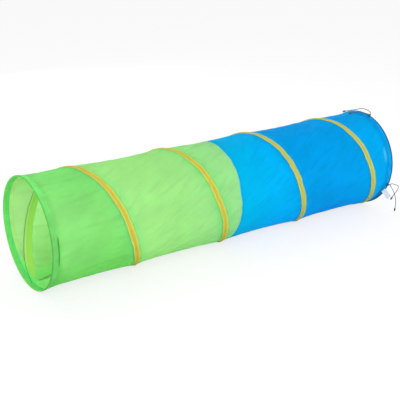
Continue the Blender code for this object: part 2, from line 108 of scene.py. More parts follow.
# Kinds of fold: shift through the noise, twist in radians a metre, width and length in metres
SWELLS = (0, 0.8, 0.085, 0.30)
LEANING_FOLDS = (0, 3.4, 0.034, 0.16)
LEVEL_FOLDS = (5, 0.4, 0.040, 0.20)
FOLD_PATCHES = (1, 1.0, 0.13, 0.18)
FINE_FOLDS = (7, -2.2, 0.024, 0.09)
GATHERS = (3, 0.8, 0.017, 0.12)
SEAM_DRIFT = (0, 0.0, 0.11, 0.4)
SEAM_WOBBLE = (0, 0.0, 0.03, 0.03)
HEM_WAVES = (0, 0.0, 0.03, 0.1)
FACING_WAVES = (0, 0.0, 0.035, 0.2)

# Painted shade on the cloth's inside under the crown, and the lean of the folds that the wire pulls
CROWN_SHADE = (0.78, 0.91, 0.72)
PULL_LEAN = math.radians(32)

# Label: place round the rear hem, slant, bend towards the floor and inset
LABEL_ANGLE = math.radians(300)
LABEL_SLANT = math.radians(-42)
LABEL_BEND = math.radians(38)
LABEL_INSET = 0.021

# Ties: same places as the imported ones
TAB_INSET = 0.0095
TAB_WIDTH = 0.009
TAB_SPAN = 0.014
TAB_HEIGHT = 0.0055
TAB_THICKNESS = 0.001
KNOT_RADIUS = 0.0040
CLEARANCE = 0.0003
TIP_LENGTH = 0.018
TIP_WOUND = 0.014
TIP_RADIUS = 0.0042
TIP_STEPS = 16
UPPER_TIE_ANGLE = math.radians(196)
LOWER_TIE_ANGLE = math.radians(291.5)

# Strands of a cord: distance from its middle and radius, as shares of the cord's radius, and length
# of one twist in diameters
STRAND_REACH = 0.536
STRAND_RADIUS = 0.47
STRAND_LAY = 6

# Points of the upper tails: distance behind the rear rim, height above the hem, angle in degrees
UPPER_TAILS = (
    ((0.0035, 0.0085, 194.6), (0.0075, 0.0105, 191.5), (0.0110, 0.0118, 187.0),
     (0.0125, 0.0118, 182.5), (0.0115, 0.0100, 178.0), (0.0080, 0.0066, 174.0),
     (0.0020, 0.0034, 170.8), (-0.0070, 0.0023, 168.2), (-0.0180, 0.0022, 166.2),
     (-0.0300, 0.0023, 164.6), (-0.0420, 0.0024, 163.4)),
    ((-0.0045, 0.0052, 194.2), (-0.0075, 0.0032, 192.3), (-0.0110, 0.0022, 189.6),
     (-0.0150, 0.0022, 186.4), (-0.0205, 0.0022, 183.8), (-0.0290, 0.0021, 182.6),
     (-0.0400, 0.0015, 182.7), (-0.0510, 0.0009, 182.6), (-0.0620, 0.0004, 181.5),
     (-0.0680, 0.0002, 180.6)))

# Points of the lower tails: distance behind the rear rim, Y, height above the floor
LOWER_TAILS = (
    ((0.0018, -0.2235, 0.1430), (0.0075, -0.2238, 0.1345), (0.0141, -0.2243, 0.1246),
     (0.0240, -0.2250, 0.1108), (0.0327, -0.2260, 0.0955), (0.0380, -0.2272, 0.0820),
     (0.0415, -0.2288, 0.0670), (0.0430, -0.2304, 0.0525), (0.0420, -0.2324, 0.0385),
     (0.0395, -0.2340, 0.0270), (0.0370, -0.2352, 0.0205)),
    ((0.0012, -0.2270, 0.1490), (0.0070, -0.2290, 0.1505), (0.0150, -0.2308, 0.1482),
     (0.0254, -0.2322, 0.1430), (0.0360, -0.2332, 0.1395), (0.0450, -0.2340, 0.1345),
     (0.0495, -0.2344, 0.1255), (0.0455, -0.2348, 0.1160), (0.0370, -0.2352, 0.1070),
     (0.0268, -0.2358, 0.0985), (0.0160, -0.2366, 0.0905), (0.0085, -0.2372, 0.0840)))


def length_property(name, description, default):
    """Length that a user may change."""
    return FloatProperty(name=name, description=description, unit="LENGTH", default=default)


def colour_property(name, description, default):
    """Linear colour that a user may change."""
    return FloatVectorProperty(name=name, description=description, subtype="COLOR", size=3,
                               min=0, max=1, default=default)


class TunnelSizes(bpy.types.PropertyGroup):
    """Sizes of the tunnel"""
    length: length_property("Length", "From rim to rim", REAR_HEM_BOX[1].x - FRONT_HEM_BOX[0].x)
    radius: length_property("Radius", "Outer radius of the hems",
                            (FRONT_HEM_BOX[1].z - FRONT_HEM_BOX[0].z) / 2)
    hem_width: length_property("Hem width", "Depth of each folded hem",
                               FRONT_HEM_BOX[1].x - FRONT_HEM_BOX[0].x)
    facing_width: length_property("Facing width", "Cloth turned in behind the hem", 0.0140)
    front_lead: length_property("Front lead", "Depth at which the wire screw starts", 0.011)
    rear_lead: length_property("Rear lead", "Distance of the screw's end from the rear rim", 0.027)
    wire_turns: IntProperty(name="Wire turns", description="Screw turns of the spring wire",
                            default=4)
    wire_diameter: length_property("Wire diameter", "Spring steel wire", 0.002)
    binding_width: length_property("Binding width", "Width of the sewn binding", 0.028)
    stitch_length: length_property("Stitch spacing", "Distance between stitches", 0.0042)
    cloth_dip: length_property("Cloth dip", "How far the cloth dips between the wires", 0.0070)
    wrinkle_depth: length_property("Wrinkle depth", "Height of the largest wrinkles", 0.0052)
    cord_diameter: length_property("Cord diameter", "Thickness of the tie cords", 0.0034)
    label_width: length_property("Label width", "Width of the care label", 0.024)
    label_reach: length_property("Label reach", "How far the label stands out", 0.038)


class TunnelColours(bpy.types.PropertyGroup):
    """Colours of the tunnel"""
    green: colour_property("Green", "Cloth of the front half", (0.470, 0.870, 0.350))
    deep_green: colour_property("Deep green", "Cloth of the front hem", (0.300, 0.920, 0.260))
    blue: colour_property("Blue", "Cloth of the rear half", (0.000, 0.540, 0.870))
    deep_blue: colour_property("Deep blue", "Rim of the rear hem", (0.000, 0.070, 0.360))
    yellow: colour_property("Yellow", "Wire binding", (0.800, 0.650, 0.080))
    cord: colour_property("Cord", "Tie cords", (0.022, 0.045, 0.080))
    label: colour_property("Label", "Satin of the care label", (0.780, 0.780, 0.880))
    steel: colour_property("Steel", "Spring wire", (0.550, 0.560, 0.580))


def sizes():
    """Sizes set in the scene."""
    return bpy.context.scene.tunnel_sizes


def colours():
    """Colours set in the scene."""
    return bpy.context.scene.tunnel_colours


def pitch():
    """Length of the tunnel that one wire turn takes."""
    return (sizes().length - sizes().front_lead - sizes().rear_lead) / sizes().wire_turns


def wire_depth(turns):
    """Depth of the wire screw after so many turns."""
    return sizes().front_lead + pitch() * turns


def cross_seam():
    """Depth of the seam between the green and the blue cloth."""
    return wire_depth(sizes().wire_turns / 2)


def cloth_radius():
    """Radius of the cloth's outer face under the wire."""
    return sizes().radius - HEM_LIFT


def hem_corner_radius():
    """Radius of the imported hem's corners, from which the ties are placed."""
    return sizes().radius / math.cos(SCREW_START)


def frame_shift():
    """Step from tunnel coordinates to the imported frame."""
    return Vector((-sizes().length / 2, 0, sizes().radius))


def around(depth, radius, angle):
    """Point in tunnel coordinates."""
    return Vector((depth, radius * math.sin(angle), -radius * math.cos(angle)))


def directions(angle):
    """Unit steps at an angle of the tunnel: outwards, and round it."""
    outward = around(0, 1, angle)
    return outward, ALONG.cross(outward)


def angle_of(point):
    """Angle of a point round the tunnel, counted on from where the wire screw starts."""
    return SCREW_START + (math.atan2(point.y, -point.z) - SCREW_START) % TAU


def turns_before(depth, angle):
    """Wire turns in front of a point of the wall, as a real number that is whole on the wire."""
    return (depth - sizes().front_lead) / pitch() - (angle - SCREW_START) / TAU


def fold_noise(depth, angle, kind):
    """Smooth noise on the tube, drawn out lengthwise and twisted as the kind of fold says."""
    shift, twist, across, along = kind
    turned_to = angle + twist * (depth + shift)
    reach = cloth_radius() / across
    return noise.noise(Vector((math.cos(turned_to) * reach, math.sin(turned_to) * reach,
                               (depth + shift) / along)))


def wall_radius(depth, angle):
    """Radius of the cloth's outer face, which dips and wrinkles between the wire's crossings."""
    turns = turns_before(depth, angle)
    to_front = (turns - math.floor(turns)) * pitch()
    front = max(depth - to_front, sizes().hem_width)
    rear = min(depth - to_front + pitch(), sizes().length - sizes().hem_width)
    if not front < depth < rear:
        return cloth_radius()
    span = rear - front
    firm_reach, short_span, gather_reach, pull_reach = 0.05, 0.2, 0.030, 0.016
    first_reach = 0.5
    slack = 1 - abs(2 * (depth - front) / span - 1) ** 2.4
    dip = sizes().cloth_dip * (span / pitch()) ** 1.5 * slack
    near = min(depth - front, rear - depth)
    loose = min(1.0, near / firm_reach) * min(1.0, span / short_span)
    leaning = 1 - abs(2.2 * fold_noise(depth, angle, LEANING_FOLDS))
    level = 1 - abs(2.2 * fold_noise(depth, angle, LEVEL_FOLDS))
    patches = fold_noise(depth, angle, FOLD_PATCHES)
    first_bay = max(0.0, 1 - depth / first_reach)
    wrinkles = (0.50 * fold_noise(depth, angle, SWELLS)
                - 0.45 * leaning * max(0.0, 0.35 + patches)
                - (0.15 + 0.4 * first_bay) * level * max(0.0, 0.35 - patches)
                + 0.16 * fold_noise(depth, angle, FINE_FOLDS))
    gathers = fold_noise(depth, angle, GATHERS) * math.exp(-near / gather_reach)
    pull = min(1.0, near / pull_reach)
    return cloth_radius() - dip + sizes().wrinkle_depth * (loose * wrinkles + 0.55 * pull * gathers)


def drift(depth, angle):
    """How far the sewing runs off its line, along the tunnel; nothing at the hems."""
    long_drift, short_drift, straight_reach = 0.0045, 0.0022, 0.08
    from_hem = min(depth, sizes().length - depth) - sizes().hem_width
    wobble = (long_drift * fold_noise(depth, angle, SEAM_DRIFT)
              + short_drift * fold_noise(depth, angle, SEAM_WOBBLE))
    return wobble * max(0.0, min(1.0, from_hem / straight_reach))


def push_out(vert, lift):
    """Move a vertex away from the tunnel's axis."""
    factor = 1 + lift / math.hypot(vert.co.y, vert.co.z)
    vert.co = (vert.co.x, vert.co.y * factor, vert.co.z * factor)


def drape(shape):
    """Lay a shape that was built on the plain cylinder onto the dipped and wrinkled cloth."""
    for vert in shape.verts:
        depth, angle = vert.co.x, angle_of(vert.co)
        push_out(vert, wall_radius(depth, angle) - cloth_radius())
        vert.co.x = depth + drift(depth, angle)


def unwrap(shape, along_screw=False):
    """UV map in metres: round the tunnel and along it, or along the wire screw and across it."""
    layer = shape.loops.layers.uv.new("UVMap")
    for face in shape.faces:
        middle = face.calc_center_median()
        centre = angle_of(middle)
        turn = round(turns_before(middle.x, centre)) if along_screw else 0
        for loop in face.loops:
            point = loop.vert.co
            angle = angle_of(point)
            turns = (angle - SCREW_START) / TAU + round((centre - angle) / TAU) + turn
            depth = point.x - wire_depth(turns) if along_screw else point.x
            loop[layer].uv = (turns * TAU * cloth_radius(), depth)


def mesh_of(shape, name):
    """Turn a shape into a mesh."""
    mesh = bpy.data.meshes.new(name)
    shape.to_mesh(mesh)
    shape.free()
    return mesh


def add_object(name, data):
    """Put an object with this data in the scene."""
    made = bpy.data.objects.new(name, data)
    bpy.context.scene.collection.objects.link(made)
    return made


def line_of(shape, points, closed=False):
    """Chain of edges through points, as geometry for an operator."""
    verts = [shape.verts.new(point) for point in points]
    ends = verts[1:] + verts[:1] if closed else verts[1:]
    return verts + [shape.edges.new(pair) for pair in zip(verts, ends)]


def turned(outline, steps, closed=False):
    """Outline of depths and radii, turned about the tunnel's axis."""
    shape = bmesh.new()
    geometry = line_of(shape, [around(depth, radius, 0) for depth, radius in outline], closed)
    bmesh.ops.spin(shape, geom=geometry, cent=(0, 0, 0), axis=ALONG, angle=TAU, steps=steps,
                   use_merge=True)
    bmesh.ops.recalc_face_normals(shape, faces=shape.faces[:])
    return shape


def close(shape):
    """Fill open rims and turn the faces outwards."""
    rims = [edge for edge in shape.edges if edge.is_boundary]
    if rims:
        bmesh.ops.holes_fill(shape, edges=rims, sides=0)
    bmesh.ops.recalc_face_normals(shape, faces=shape.faces[:])


def screwed(section, front, rear):
    """Section of offsets from the wire and radii, run along the screw between two depths."""
    steps, spare = 144, 0.03
    first = math.floor((front - sizes().front_lead - spare) / pitch() * steps)
    last = math.ceil((rear - sizes().front_lead + spare) / pitch() * steps)
    shape = bmesh.new()
    geometry = line_of(shape, [
        around(wire_depth(first / steps) + offset, radius, SCREW_START + first * TAU / steps)
        for offset, radius in section], closed=True)
    bmesh.ops.spin(shape, geom=geometry, cent=(0, 0, 0), axis=ALONG, dvec=(pitch() / steps, 0, 0),
                   angle=(last - first) * TAU / steps, steps=last - first)
    close(shape)
    for depth, keep_rear in ((front, True), (rear, False)):
        bmesh.ops.bisect_plane(shape, geom=shape.verts[:] + shape.edges[:] + shape.faces[:],
                               dist=1e-6, plane_co=(depth, 0, 0), plane_no=ALONG,
                               clear_inner=keep_rear, clear_outer=not keep_rear)
        close(shape)
    return shape


def drawn_out(shape, geometry, reach, rows=1):
    """Extrude a chain of edges along the tunnel in equal rows."""
    for _ in range(rows):
        edges = [item for item in geometry if isinstance(item, bmesh.types.BMEdge)]
        geometry = bmesh.ops.extrude_edge_only(shape, edges=edges)["geom"]
        verts = [item for item in geometry if isinstance(item, bmesh.types.BMVert)]
        bmesh.ops.translate(shape, verts=verts, vec=(reach / rows, 0, 0))


def add_stitch(shape, placement, length=0.0028, width=0.0007, height=0.0005):
    """One raised stitch that lies along its placement's Y."""
    scale = Matrix.Diagonal((width, length, height, 1.0))
    bmesh.ops.create_icosphere(shape, subdivisions=1, radius=0.5, matrix=placement @ scale)


def stitch_placement(depth, radius, angle, slant=0.0):
    """Placement on the tube: X along the tunnel, Y round it, Z outwards."""
    outward = around(0, 1, angle)
    axes = Matrix((ALONG, outward.cross(ALONG), outward)).transposed().to_4x4()
    axes.translation = around(depth, radius, angle)
    return axes @ Matrix.Rotation(slant, 4, "Z")


def add_stitch_row(shape, first, reach, turns=1.0, rise=0.0):
    """Row of stitches from a first placement on: one group is made, and then whole groups."""
    groups = round(reach / sizes().stitch_length / STITCH_GROUP)
    row = bmesh.new()
    add_stitch(row, first)
    for steps, share in ((STITCH_GROUP, 1 / groups / STITCH_GROUP), (groups, 1 / groups)):
        bmesh.ops.spin(row, geom=row.verts[:] + row.edges[:] + row.faces[:], cent=(0, 0, 0),
                       axis=ALONG, dvec=(rise * share, 0, 0), steps=steps - 1,
                       angle=turns * TAU * share * (steps - 1), use_duplicate=True)
    mesh = mesh_of(row, "row")
    shape.from_mesh(mesh)
    bpy.data.meshes.remove(mesh)


def stitch_round(shape, depth, lift, slant=0.0):
    """Row of stitches round the tunnel."""
    radius = cloth_radius() + lift
    add_stitch_row(shape, stitch_placement(depth, radius, SCREW_START, slant), TAU * radius)


def piece(name, shape, finishes, replaced=(), body=None, sharp=40):
    """Make a shape an object in the frame: on a body, or else on the front end with a mesh of its
    own.
    """
    mesh = mesh_of(shape, name)
    mesh.transform(Matrix.Translation(frame_shift()))
    mesh.shade_smooth()
    mesh.set_sharp_from_angle(angle=math.radians(sharp))
    made = add_object(name, mesh)
    for finish in finishes:
        mesh.materials.append(finish.owner)
    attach(made, body or "front_end")
    if replaced:
        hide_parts(*replaced)
    if body is None:
        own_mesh(made)
    return made


def tubes(lines, radius, closed=False, sides=2):
    """Round tubes along lines of points."""
    curve = bpy.data.curves.new("tube", "CURVE")
    curve.dimensions = "3D"
    curve.bevel_depth = radius
    curve.bevel_resolution = sides
    curve.use_fill_caps = not closed
    for line in lines:
        spline = curve.splines.new("POLY")
        spline.points.add(len(line) - 1)
        for target, point in zip(spline.points, line):
            target.co = (*point, 1.0)
        spline.use_cyclic_u = closed
    holder = add_object("tube", curve)
    bpy.context.view_layer.update()
    graph = bpy.context.evaluated_depsgraph_get()
    mesh = bpy.data.meshes.new_from_object(holder.evaluated_get(graph))
    shape = bmesh.new()
    shape.from_mesh(mesh)
    for data, item in ((bpy.data.objects, holder), (bpy.data.curves, curve),
                       (bpy.data.meshes, mesh)):
        data.remove(item)
    return shape


class Socket:
    """Shader output that takes part in Python expressions, each of which adds a Math node."""

    def __init__(self, finish, output):
        self.finish = finish
        self.output = output

    def other(self, name):
        """Another output of the same node."""
        return Socket(self.finish, self.output.node.outputs[name])

    def math(self, operation, *values):
        """Result of a Math node on this value and others."""
        return self.finish.node("ShaderNodeMath", {"operation": operation},
                                dict(enumerate((self, *values))))

    def __add__(self, value):
        return self.math("ADD", value)

    def __sub__(self, value):
        return self.math("SUBTRACT", value)

    def __rsub__(self, value):
        return self.finish.node("ShaderNodeMath", {"operation": "SUBTRACT"}, {0: value, 1: self})

    def __mul__(self, value):
        return self.math("MULTIPLY", value)

    def __truediv__(self, value):
        return self.math("DIVIDE", value)

    __radd__ = __add__

    def floor(self):
        return self.math("FLOOR")

    def round(self):
        return self.math("ROUND")

    def size(self):
        return self.math("ABSOLUTE")

    def wave(self):
        return self.math("SINE")

    def above(self, limit, soft):
        """1 above a value, fading to 0 below it over a soft edge."""
        return self.finish.node("ShaderNodeMapRange", {"interpolation_type": "SMOOTHSTEP"}, {
            "Value": self, "From Min": limit - soft, "From Max": limit + soft})

    def below(self, limit, soft):
        """1 below a value, fading to 0 above it over a soft edge."""
        return 1 - self.above(limit, soft)

    def within(self, low, high, soft):
        """1 between two values, fading to 0 over soft edges."""
        return self.above(low, soft) * self.below(high, soft)


class Finish:
    """Material or world under construction, one node at a time."""

    def __init__(self, name, world=None):
        self.owner = world or bpy.data.materials.new(name)
        self.owner.use_nodes = True
        self.tree = self.owner.node_tree
        self.tree.nodes.clear()

    def node(self, kind, settings=None, values=None, output=0):
        """Add a node: its settings first, then the values or links of its sockets."""
        made = self.tree.nodes.new(kind)
        for key, value in (settings or {}).items():
            if key == "stops":
                ramp = made.color_ramp
                while len(ramp.elements) < len(value):
                    ramp.elements.new(1.0)
                for stop, (position, colour) in zip(ramp.elements, value):
                    stop.position = position
                    stop.color = (*colour, 1.0)
            else:
                setattr(made, key, value)
        for key, value in (values or {}).items():
            if isinstance(value, Socket):
                self.tree.links.new(value.output, made.inputs[key])
            else:
                made.inputs[key].default_value = value
        return Socket(self, made.outputs[output]) if made.outputs else None

    def mix(self, share, first, second, blend="MIX"):
        """Mixed colour. Plain colours have three numbers."""
        first, second = (value if isinstance(value, Socket) else (*value, 1.0)
                         for value in (first, second))
        return self.node("ShaderNodeMix", {"data_type": "RGBA", "blend_type": blend},
                         {0: share, 6: first, 7: second}, output=2)

    def shade(self, colour, low, high, level):
        """Colour made darker or lighter by a level from 0 to 1."""
        return self.mix(1.0, colour, level * (high - low) + low, "MULTIPLY")

    def speckle(self, vector, scale, detail=2.0, roughness=0.5):
        """Noise from about 0 to 1."""
        return self.node("ShaderNodeTexNoise", None, {
            "Vector": vector, "Scale": scale, "Detail": detail, "Roughness": roughness})

    def grain(self, vector, size, detail=2.0, roughness=0.5, turn=0.0):
        """Noise whose grains have this size in metres, turned about Z."""
        cells = self.node("ShaderNodeMapping", {"vector_type": "TEXTURE"}, {
            "Vector": vector, "Scale": (*size, 1.0)[:3], "Rotation": (0.0, 0.0, turn)})
        return self.speckle(cells, 1.0, detail, roughness)

    def place(self):
        """Object coordinates."""
        return self.node("ShaderNodeTexCoord", output="Object")

    def unwrapped(self):
        """The piece's own UV map in metres, and its two directions."""
        spread = self.node("ShaderNodeUVMap", {"uv_map": "UVMap"})
        parts = self.node("ShaderNodeSeparateXYZ", None, {0: spread})
        return spread, parts, parts.other("Y")

    def bump(self, height, distance, strength=1.0, normal=None):
        """Normal raised by a height."""
        values = {"Height": height, "Distance": distance, "Strength": strength}
        if normal is not None:
            values["Normal"] = normal
        return self.node("ShaderNodeBump", None, values)

    def surface(self, colour, roughness, normal, gloss=0.5, see_through=None, glow=None,
                extra=None):
        """Output of a Principled shader, mixed with light that comes through the cloth."""
        shader = self.node("ShaderNodeBsdfPrincipled", None, {
            "Base Color": colour, "Roughness": roughness, "Normal": normal,
            "Specular IOR Level": gloss, **(extra or {})})
        if see_through is not None:
            through = self.node("ShaderNodeBsdfTranslucent", None, {
                "Color": glow or colour, "Normal": normal})
            shader = self.node("ShaderNodeMixShader", None, {
                0: see_through, 1: shader, 2: through})
        self.node("ShaderNodeOutputMaterial", None, {"Surface": shader})
        return self


def weave(finish, across, along, threads, height, strength):
    """Normal of a plain weave, from two sets of threads that pass over each other."""
    crossings = (across * (TAU * threads)).wave() * (along * (TAU * threads)).wave()
    return finish.bump(crossings, height, strength)


def tube_weave(finish, round_it, depth):
    """Normal of the tunnel's cloth, with a whole number of threads round it."""
    girth = TAU * cloth_radius()
    return weave(finish, round_it, depth, round(girth / THREAD_SPACING) / girth, 0.00006, 0.5)


def between_angles(round_it, first, last, soft):
    """1 between two angles in degrees, counted from the screw's start past the far side."""
    radius = cloth_radius()
    return round_it.within(math.radians(first) * radius, math.radians(last) * radius, soft)


def to_rim(depth):
    """Distance from the nearer rim."""
    return (sizes().length - depth).math("MINIMUM", depth)


def tape_line(round_it, depth):
    """1 on the thin shadow that runs on from the inner tape to the bottom of the front hem."""
    start_depth, depth_per_degree = 0.018, 0.000724
    degrees = round_it * (360 / (TAU * cloth_radius())) - 12.0
    from_line = depth - degrees * depth_per_degree - start_depth
    on_line = from_line.within(-0.0010, 0.0010, 0.0004)
    return on_line * degrees.within(-2.0, 33.0, 2.0)


def deepened(colour):
    """Tone of a cloth's shaded edge."""
    return tuple(0.42 * value * value for value in colour)


def tunnel_cloth(name, tones, inside):
    """Thin woven polyester of the tube, as it looks from outside or from inside."""
    finish = Finish(name)
    spread, round_it, depth = finish.unwrapped()
    turn = round_it / (TAU * cloth_radius())
    turns = (depth - sizes().front_lead) / pitch() - turn
    strip = turns.floor() + turn
    from_wire = ((turns - turns.round()) * pitch()).size()
    near_wire = from_wire.below(0.036, 0.024)
    puckers = finish.grain(spread, (0.030, 0.045), 3.0, 0.6)
    # The inside is a paler copy of the cloth: painted light that comes through the wall
    if inside:
        colour = tones["inside"]
    else:
        count = sizes().wire_turns + 1
        stops = [((station + 1) / count, tone) for station, tone in tones["along_strip"]]
        colour = finish.node("ShaderNodeValToRGB", {"stops": stops}, {0: (strip + 1.0) / count})
        # Painted shade and light in the puckers beside the wire
        puckered = (puckers * 2.0 - 0.45).math("MINIMUM", 1.0).math("MAXIMUM", 0.1)
        colour = finish.mix(near_wire * puckered, colour, tones["pucker_shading"])
    # Random mottling of the tone, partly painted shade of the cloth's folds
    patches = finish.grain(spread, (0.10, 0.15), 4.0, 0.6, PULL_LEAN)
    colour = finish.shade(colour, 0.84, 1.16, patches)
    leaning = finish.grain(spread, (0.020, 0.110), 1.0, 0.4, PULL_LEAN)
    level = finish.grain(spread, (0.026, 0.130), 1.0, 0.4, math.radians(7))
    folds = leaning + (level - leaning) * strip.below(0.5, 0.2)
    # Painted shade along the folds
    colour = finish.shade(colour, 1.012, 0.938, folds.above(0.60, 0.10) * patches * 1.6)
    colour = finish.shade(colour, 0.97, 1.03, finish.grain(spread, (0.0015, 0.0033)))
    haze = tones["haze"]
    if inside:
        behind = strip.above(-0.2, 0.2)
        crown = between_angles(round_it, 135, 225, 0.12) * (1 - behind)
        low = 1 - between_angles(round_it, 34, 336, 0.06)
        # Painted shadow behind the facing's loose edge
        colour = finish.shade(colour, 1.0, 0.72, to_rim(depth).within(0.0400, 0.0430, 0.0012))
        # Painted shade under the crown
        colour = finish.mix(crown, colour, CROWN_SHADE, "MULTIPLY")
        # Painted shade: less light comes through the cloth in front of the first wire turn
        glow = finish.shade(finish.mix(0.9, colour, haze), 0.82, 1.0, behind)
        # Painted shade under the crown, on the light through the cloth too
        glow = finish.mix(crown, glow, CROWN_SHADE, "MULTIPLY")
        # Painted light and shade at the floor: a deeper tone, and less light through the cloth
        colour = finish.mix(low, colour, tones["low"])
        see_through = 0.6 + behind * 0.25 - low * 0.6
    else:
        # Painted contact shadow along the binding's edges
        binding_edge_shadow = from_wire.within(0.0138, 0.0180, 0.0010)
        colour = finish.mix(binding_edge_shadow * 0.7, colour, tones["binding_edge_shadow"])
        # Painted shadow under the lifted edge of the front hem, low on the near side
        hem_edge_shadow = depth.below(0.0320, 0.0012) * between_angles(round_it, 262, 292, 0.014)
        colour = finish.mix(hem_edge_shadow * 0.85, colour, (0.015, 0.330, 0.015))
        glint = (sizes().length - depth).within(0.0340, 0.0480, 0.0040)
        glint = glint * between_angles(round_it, 250, 264, 0.022)
        colour = finish.mix(glint * 0.95, colour, (0.110, 0.740, 0.950))
        glow = finish.mix(0.25 * haze[0], colour, haze)
        see_through = 0.55
    normal = finish.bump(folds, 0.005, 0.7, tube_weave(finish, round_it, depth))
    normal = finish.bump(puckers * near_wire, 0.006, 0.8, normal)
    return finish.surface(colour, 0.55, normal, 0.03, see_through, glow)


def doubled_cloth(name, colour, see_through=0.35, rim=None, edge=None, shadow=None, tape=False):
    """Cloth folded double in the hems and seams.

    rim is the tone of a band beside the tunnel's rims and its width, edge the depth of a pale cut
    edge, and shadow the light that is left between two angles, the angles and the softness.
    """
    finish = Finish(name)
    spread, round_it, depth = finish.unwrapped()
    tone = colour
    if rim:
        tone = finish.mix(to_rim(depth).below(rim[1], 0.0016), tone, rim[0])
    if edge:
        pale = depth.within(edge - 0.0012, edge + 0.0012, 0.0003)
        tone = finish.mix(pale * 0.8, tone, (0.46, 0.92, 0.76))
    tone = finish.shade(tone, 0.80, 1.20, finish.grain(spread, (0.045, 0.030), 3.0))
    if shadow:
        tone = finish.shade(tone, 1.0, shadow[0], between_angles(round_it, *shadow[1:]))
    if tape:
        tone = finish.mix(tape_line(round_it, depth) * 0.9, tone, deepened(colour))
    gathers = finish.grain(spread, (0.014, 0.055), 3.0)
    normal = finish.bump(gathers, 0.0016, 0.7, tube_weave(finish, round_it, depth))
    return finish.surface(tone, 0.5, normal, 0.06, see_through)


def facing_cloth(name, tone, floor_shade_tone):
    """Cloth turned in behind a hem: pale where light comes through, with painted shade at the
    floor.
    """
    finish = Finish(name)
    spread, round_it, depth = finish.unwrapped()
    low = 1 - between_angles(round_it, 52, 300, 0.06)
    clouds = finish.grain(spread, (0.045, 0.030), 3.0)
    # Painted shade at the floor, with random mottling
    colour = finish.shade(finish.mix(low, tone, floor_shade_tone), 0.85, 1.15, clouds)
    # Painted shadow along the loose edge low down, and along the tape's line
    loose_edge_shadow = to_rim(depth).above(sizes().hem_width + sizes().facing_width - 0.0012, 0.0003)
    loose_edge_shadow = loose_edge_shadow * (1 - between_angles(round_it, 8, 290, 0.02))
    shaded = loose_edge_shadow.math("MAXIMUM", tape_line(round_it, depth))
    colour = finish.mix(shaded * 0.95, colour, deepened(floor_shade_tone))
    gathers = finish.bump(finish.grain(spread, (0.014, 0.055), 3.0), 0.0016, 0.7)
    return finish.surface(colour, 0.5, gathers, 0.06, 0.6 - low * 0.45)


def binding_tape(name, colour):
    """Woven binding: mustard over the wire, thinner and paler towards its edges."""
    finish = Finish(name)
    spread, along, across = finish.unwrapped()
    wear = finish.grain(spread, (0.040, 0.007), 3.0)
    bends = finish.grain(spread, (0.060, 0.060))
    edge = (across + 0.0015 + (bends - 0.5) * 0.010).size().above(0.0080, 0.0030)
    tone = finish.mix(edge * (wear * 0.6 + 0.5), colour, (0.700, 0.860, 0.200))
    blue_half = along.above(TAU * cloth_radius() * sizes().wire_turns / 2, 0.2)
    tone = finish.mix(blue_half * 0.45, tone, (0.560, 0.660, 0.220))
    tone = finish.mix(blue_half * edge * 0.5, tone, (0.480, 0.780, 0.340))
    tone = finish.shade(tone, 0.82, 1.18, wear)
    normal = weave(finish, along, across, 1 / 0.0012, 0.00012, 0.6)
    normal = finish.bump(finish.grain(spread, (0.011, 0.025)), 0.0012, 0.7, normal)
    return finish.surface(tone, 0.62, normal, 0.1, 0.35)


def inner_tape_cloth(name, tone):
    """Cloth tape in which the yellow binding behind it shows, painted in as a yellower band where
    light comes through.
    """
    finish = Finish(name)
    spread, _, across = finish.unwrapped()
    colour = finish.mix(across.within(-0.0110, 0.0130, 0.0010) * 0.8, tone, (0.62, 1.00, 0.19))
    # Painted shadow along the tape's loose front edge
    colour = finish.shade(colour, 1.0, 0.30, across.below(-0.0225, 0.0008))
    pale = across.within(-0.0160, -0.0125, 0.0008)
    colour = finish.mix(pale * 0.9, colour, (1.00, 1.00, 0.60))
    normal = finish.bump(finish.grain(spread, (0.011, 0.017)), 0.0008, 0.6)
    return finish.surface(colour, 0.55, normal, 0.08, 0.25)


def thread(name, colour):
    """Twisted sewing thread."""
    finish = Finish(name)
    twist = finish.node("ShaderNodeTexWave", {"bands_direction": "DIAGONAL"},
                        {"Vector": finish.place(), "Scale": 700.0, "Distortion": 1.0})
    tone = finish.shade(colour, 0.8, 1.1, twist)
    return finish.surface(tone, 0.45, finish.bump(twist, 0.0001))


def cord_yarn(name, colour):
    """Twisted polyester cord with loose fibres."""
    finish = Finish(name)
    fibres = finish.speckle(finish.place(), 1400.0, 3.0)
    tufts = finish.speckle(finish.place(), 160.0)
    tone = finish.shade(finish.shade(colour, 0.6, 1.6, tufts), 0.7, 1.3, fibres)
    return finish.surface(tone, 0.8, finish.bump(fibres, 0.0002, 0.7), extra={"Sheen Weight": 0.3})


def satin(name, colour):
    """Blank satin of the care label."""
    finish = Finish(name)
    _, across, height = finish.unwrapped()
    ribs = (height * (TAU / 0.0007)).wave()
    sides = across.size().above(0.0105, 0.0004)
    clouds = finish.speckle(finish.place(), 60.0)
    tone = finish.shade(finish.shade(colour, 0.90, 1.08, clouds), 1.0, 0.9, sides)
    return finish.surface(tone, 0.35, finish.bump(ribs, 0.00005, 0.5), see_through=0.2,
                          extra={"Sheen Weight": 0.1})


def drawn_steel(name, colour, roughness):
    """Bright wire or sleeve with fine drawing marks."""
    finish = Finish(name)
    marks = finish.grain(finish.place(), (0.017, 0.0011, 0.0011), 3.0)
    return finish.surface(finish.shade(colour, 0.85, 1.1, marks), marks * 0.2 + roughness,
                          finish.bump(marks, 0.00004), extra={"Metallic": 1.0})


def inner_faces_second(shape):
    """Give the faces that look at the tunnel's axis the second material."""
    shape.normal_update()
    for face in shape.faces:
        middle = face.calc_center_median()
        if face.normal.dot(Vector((0, middle.y, middle.z))) < 0:
            face.material_index = 1


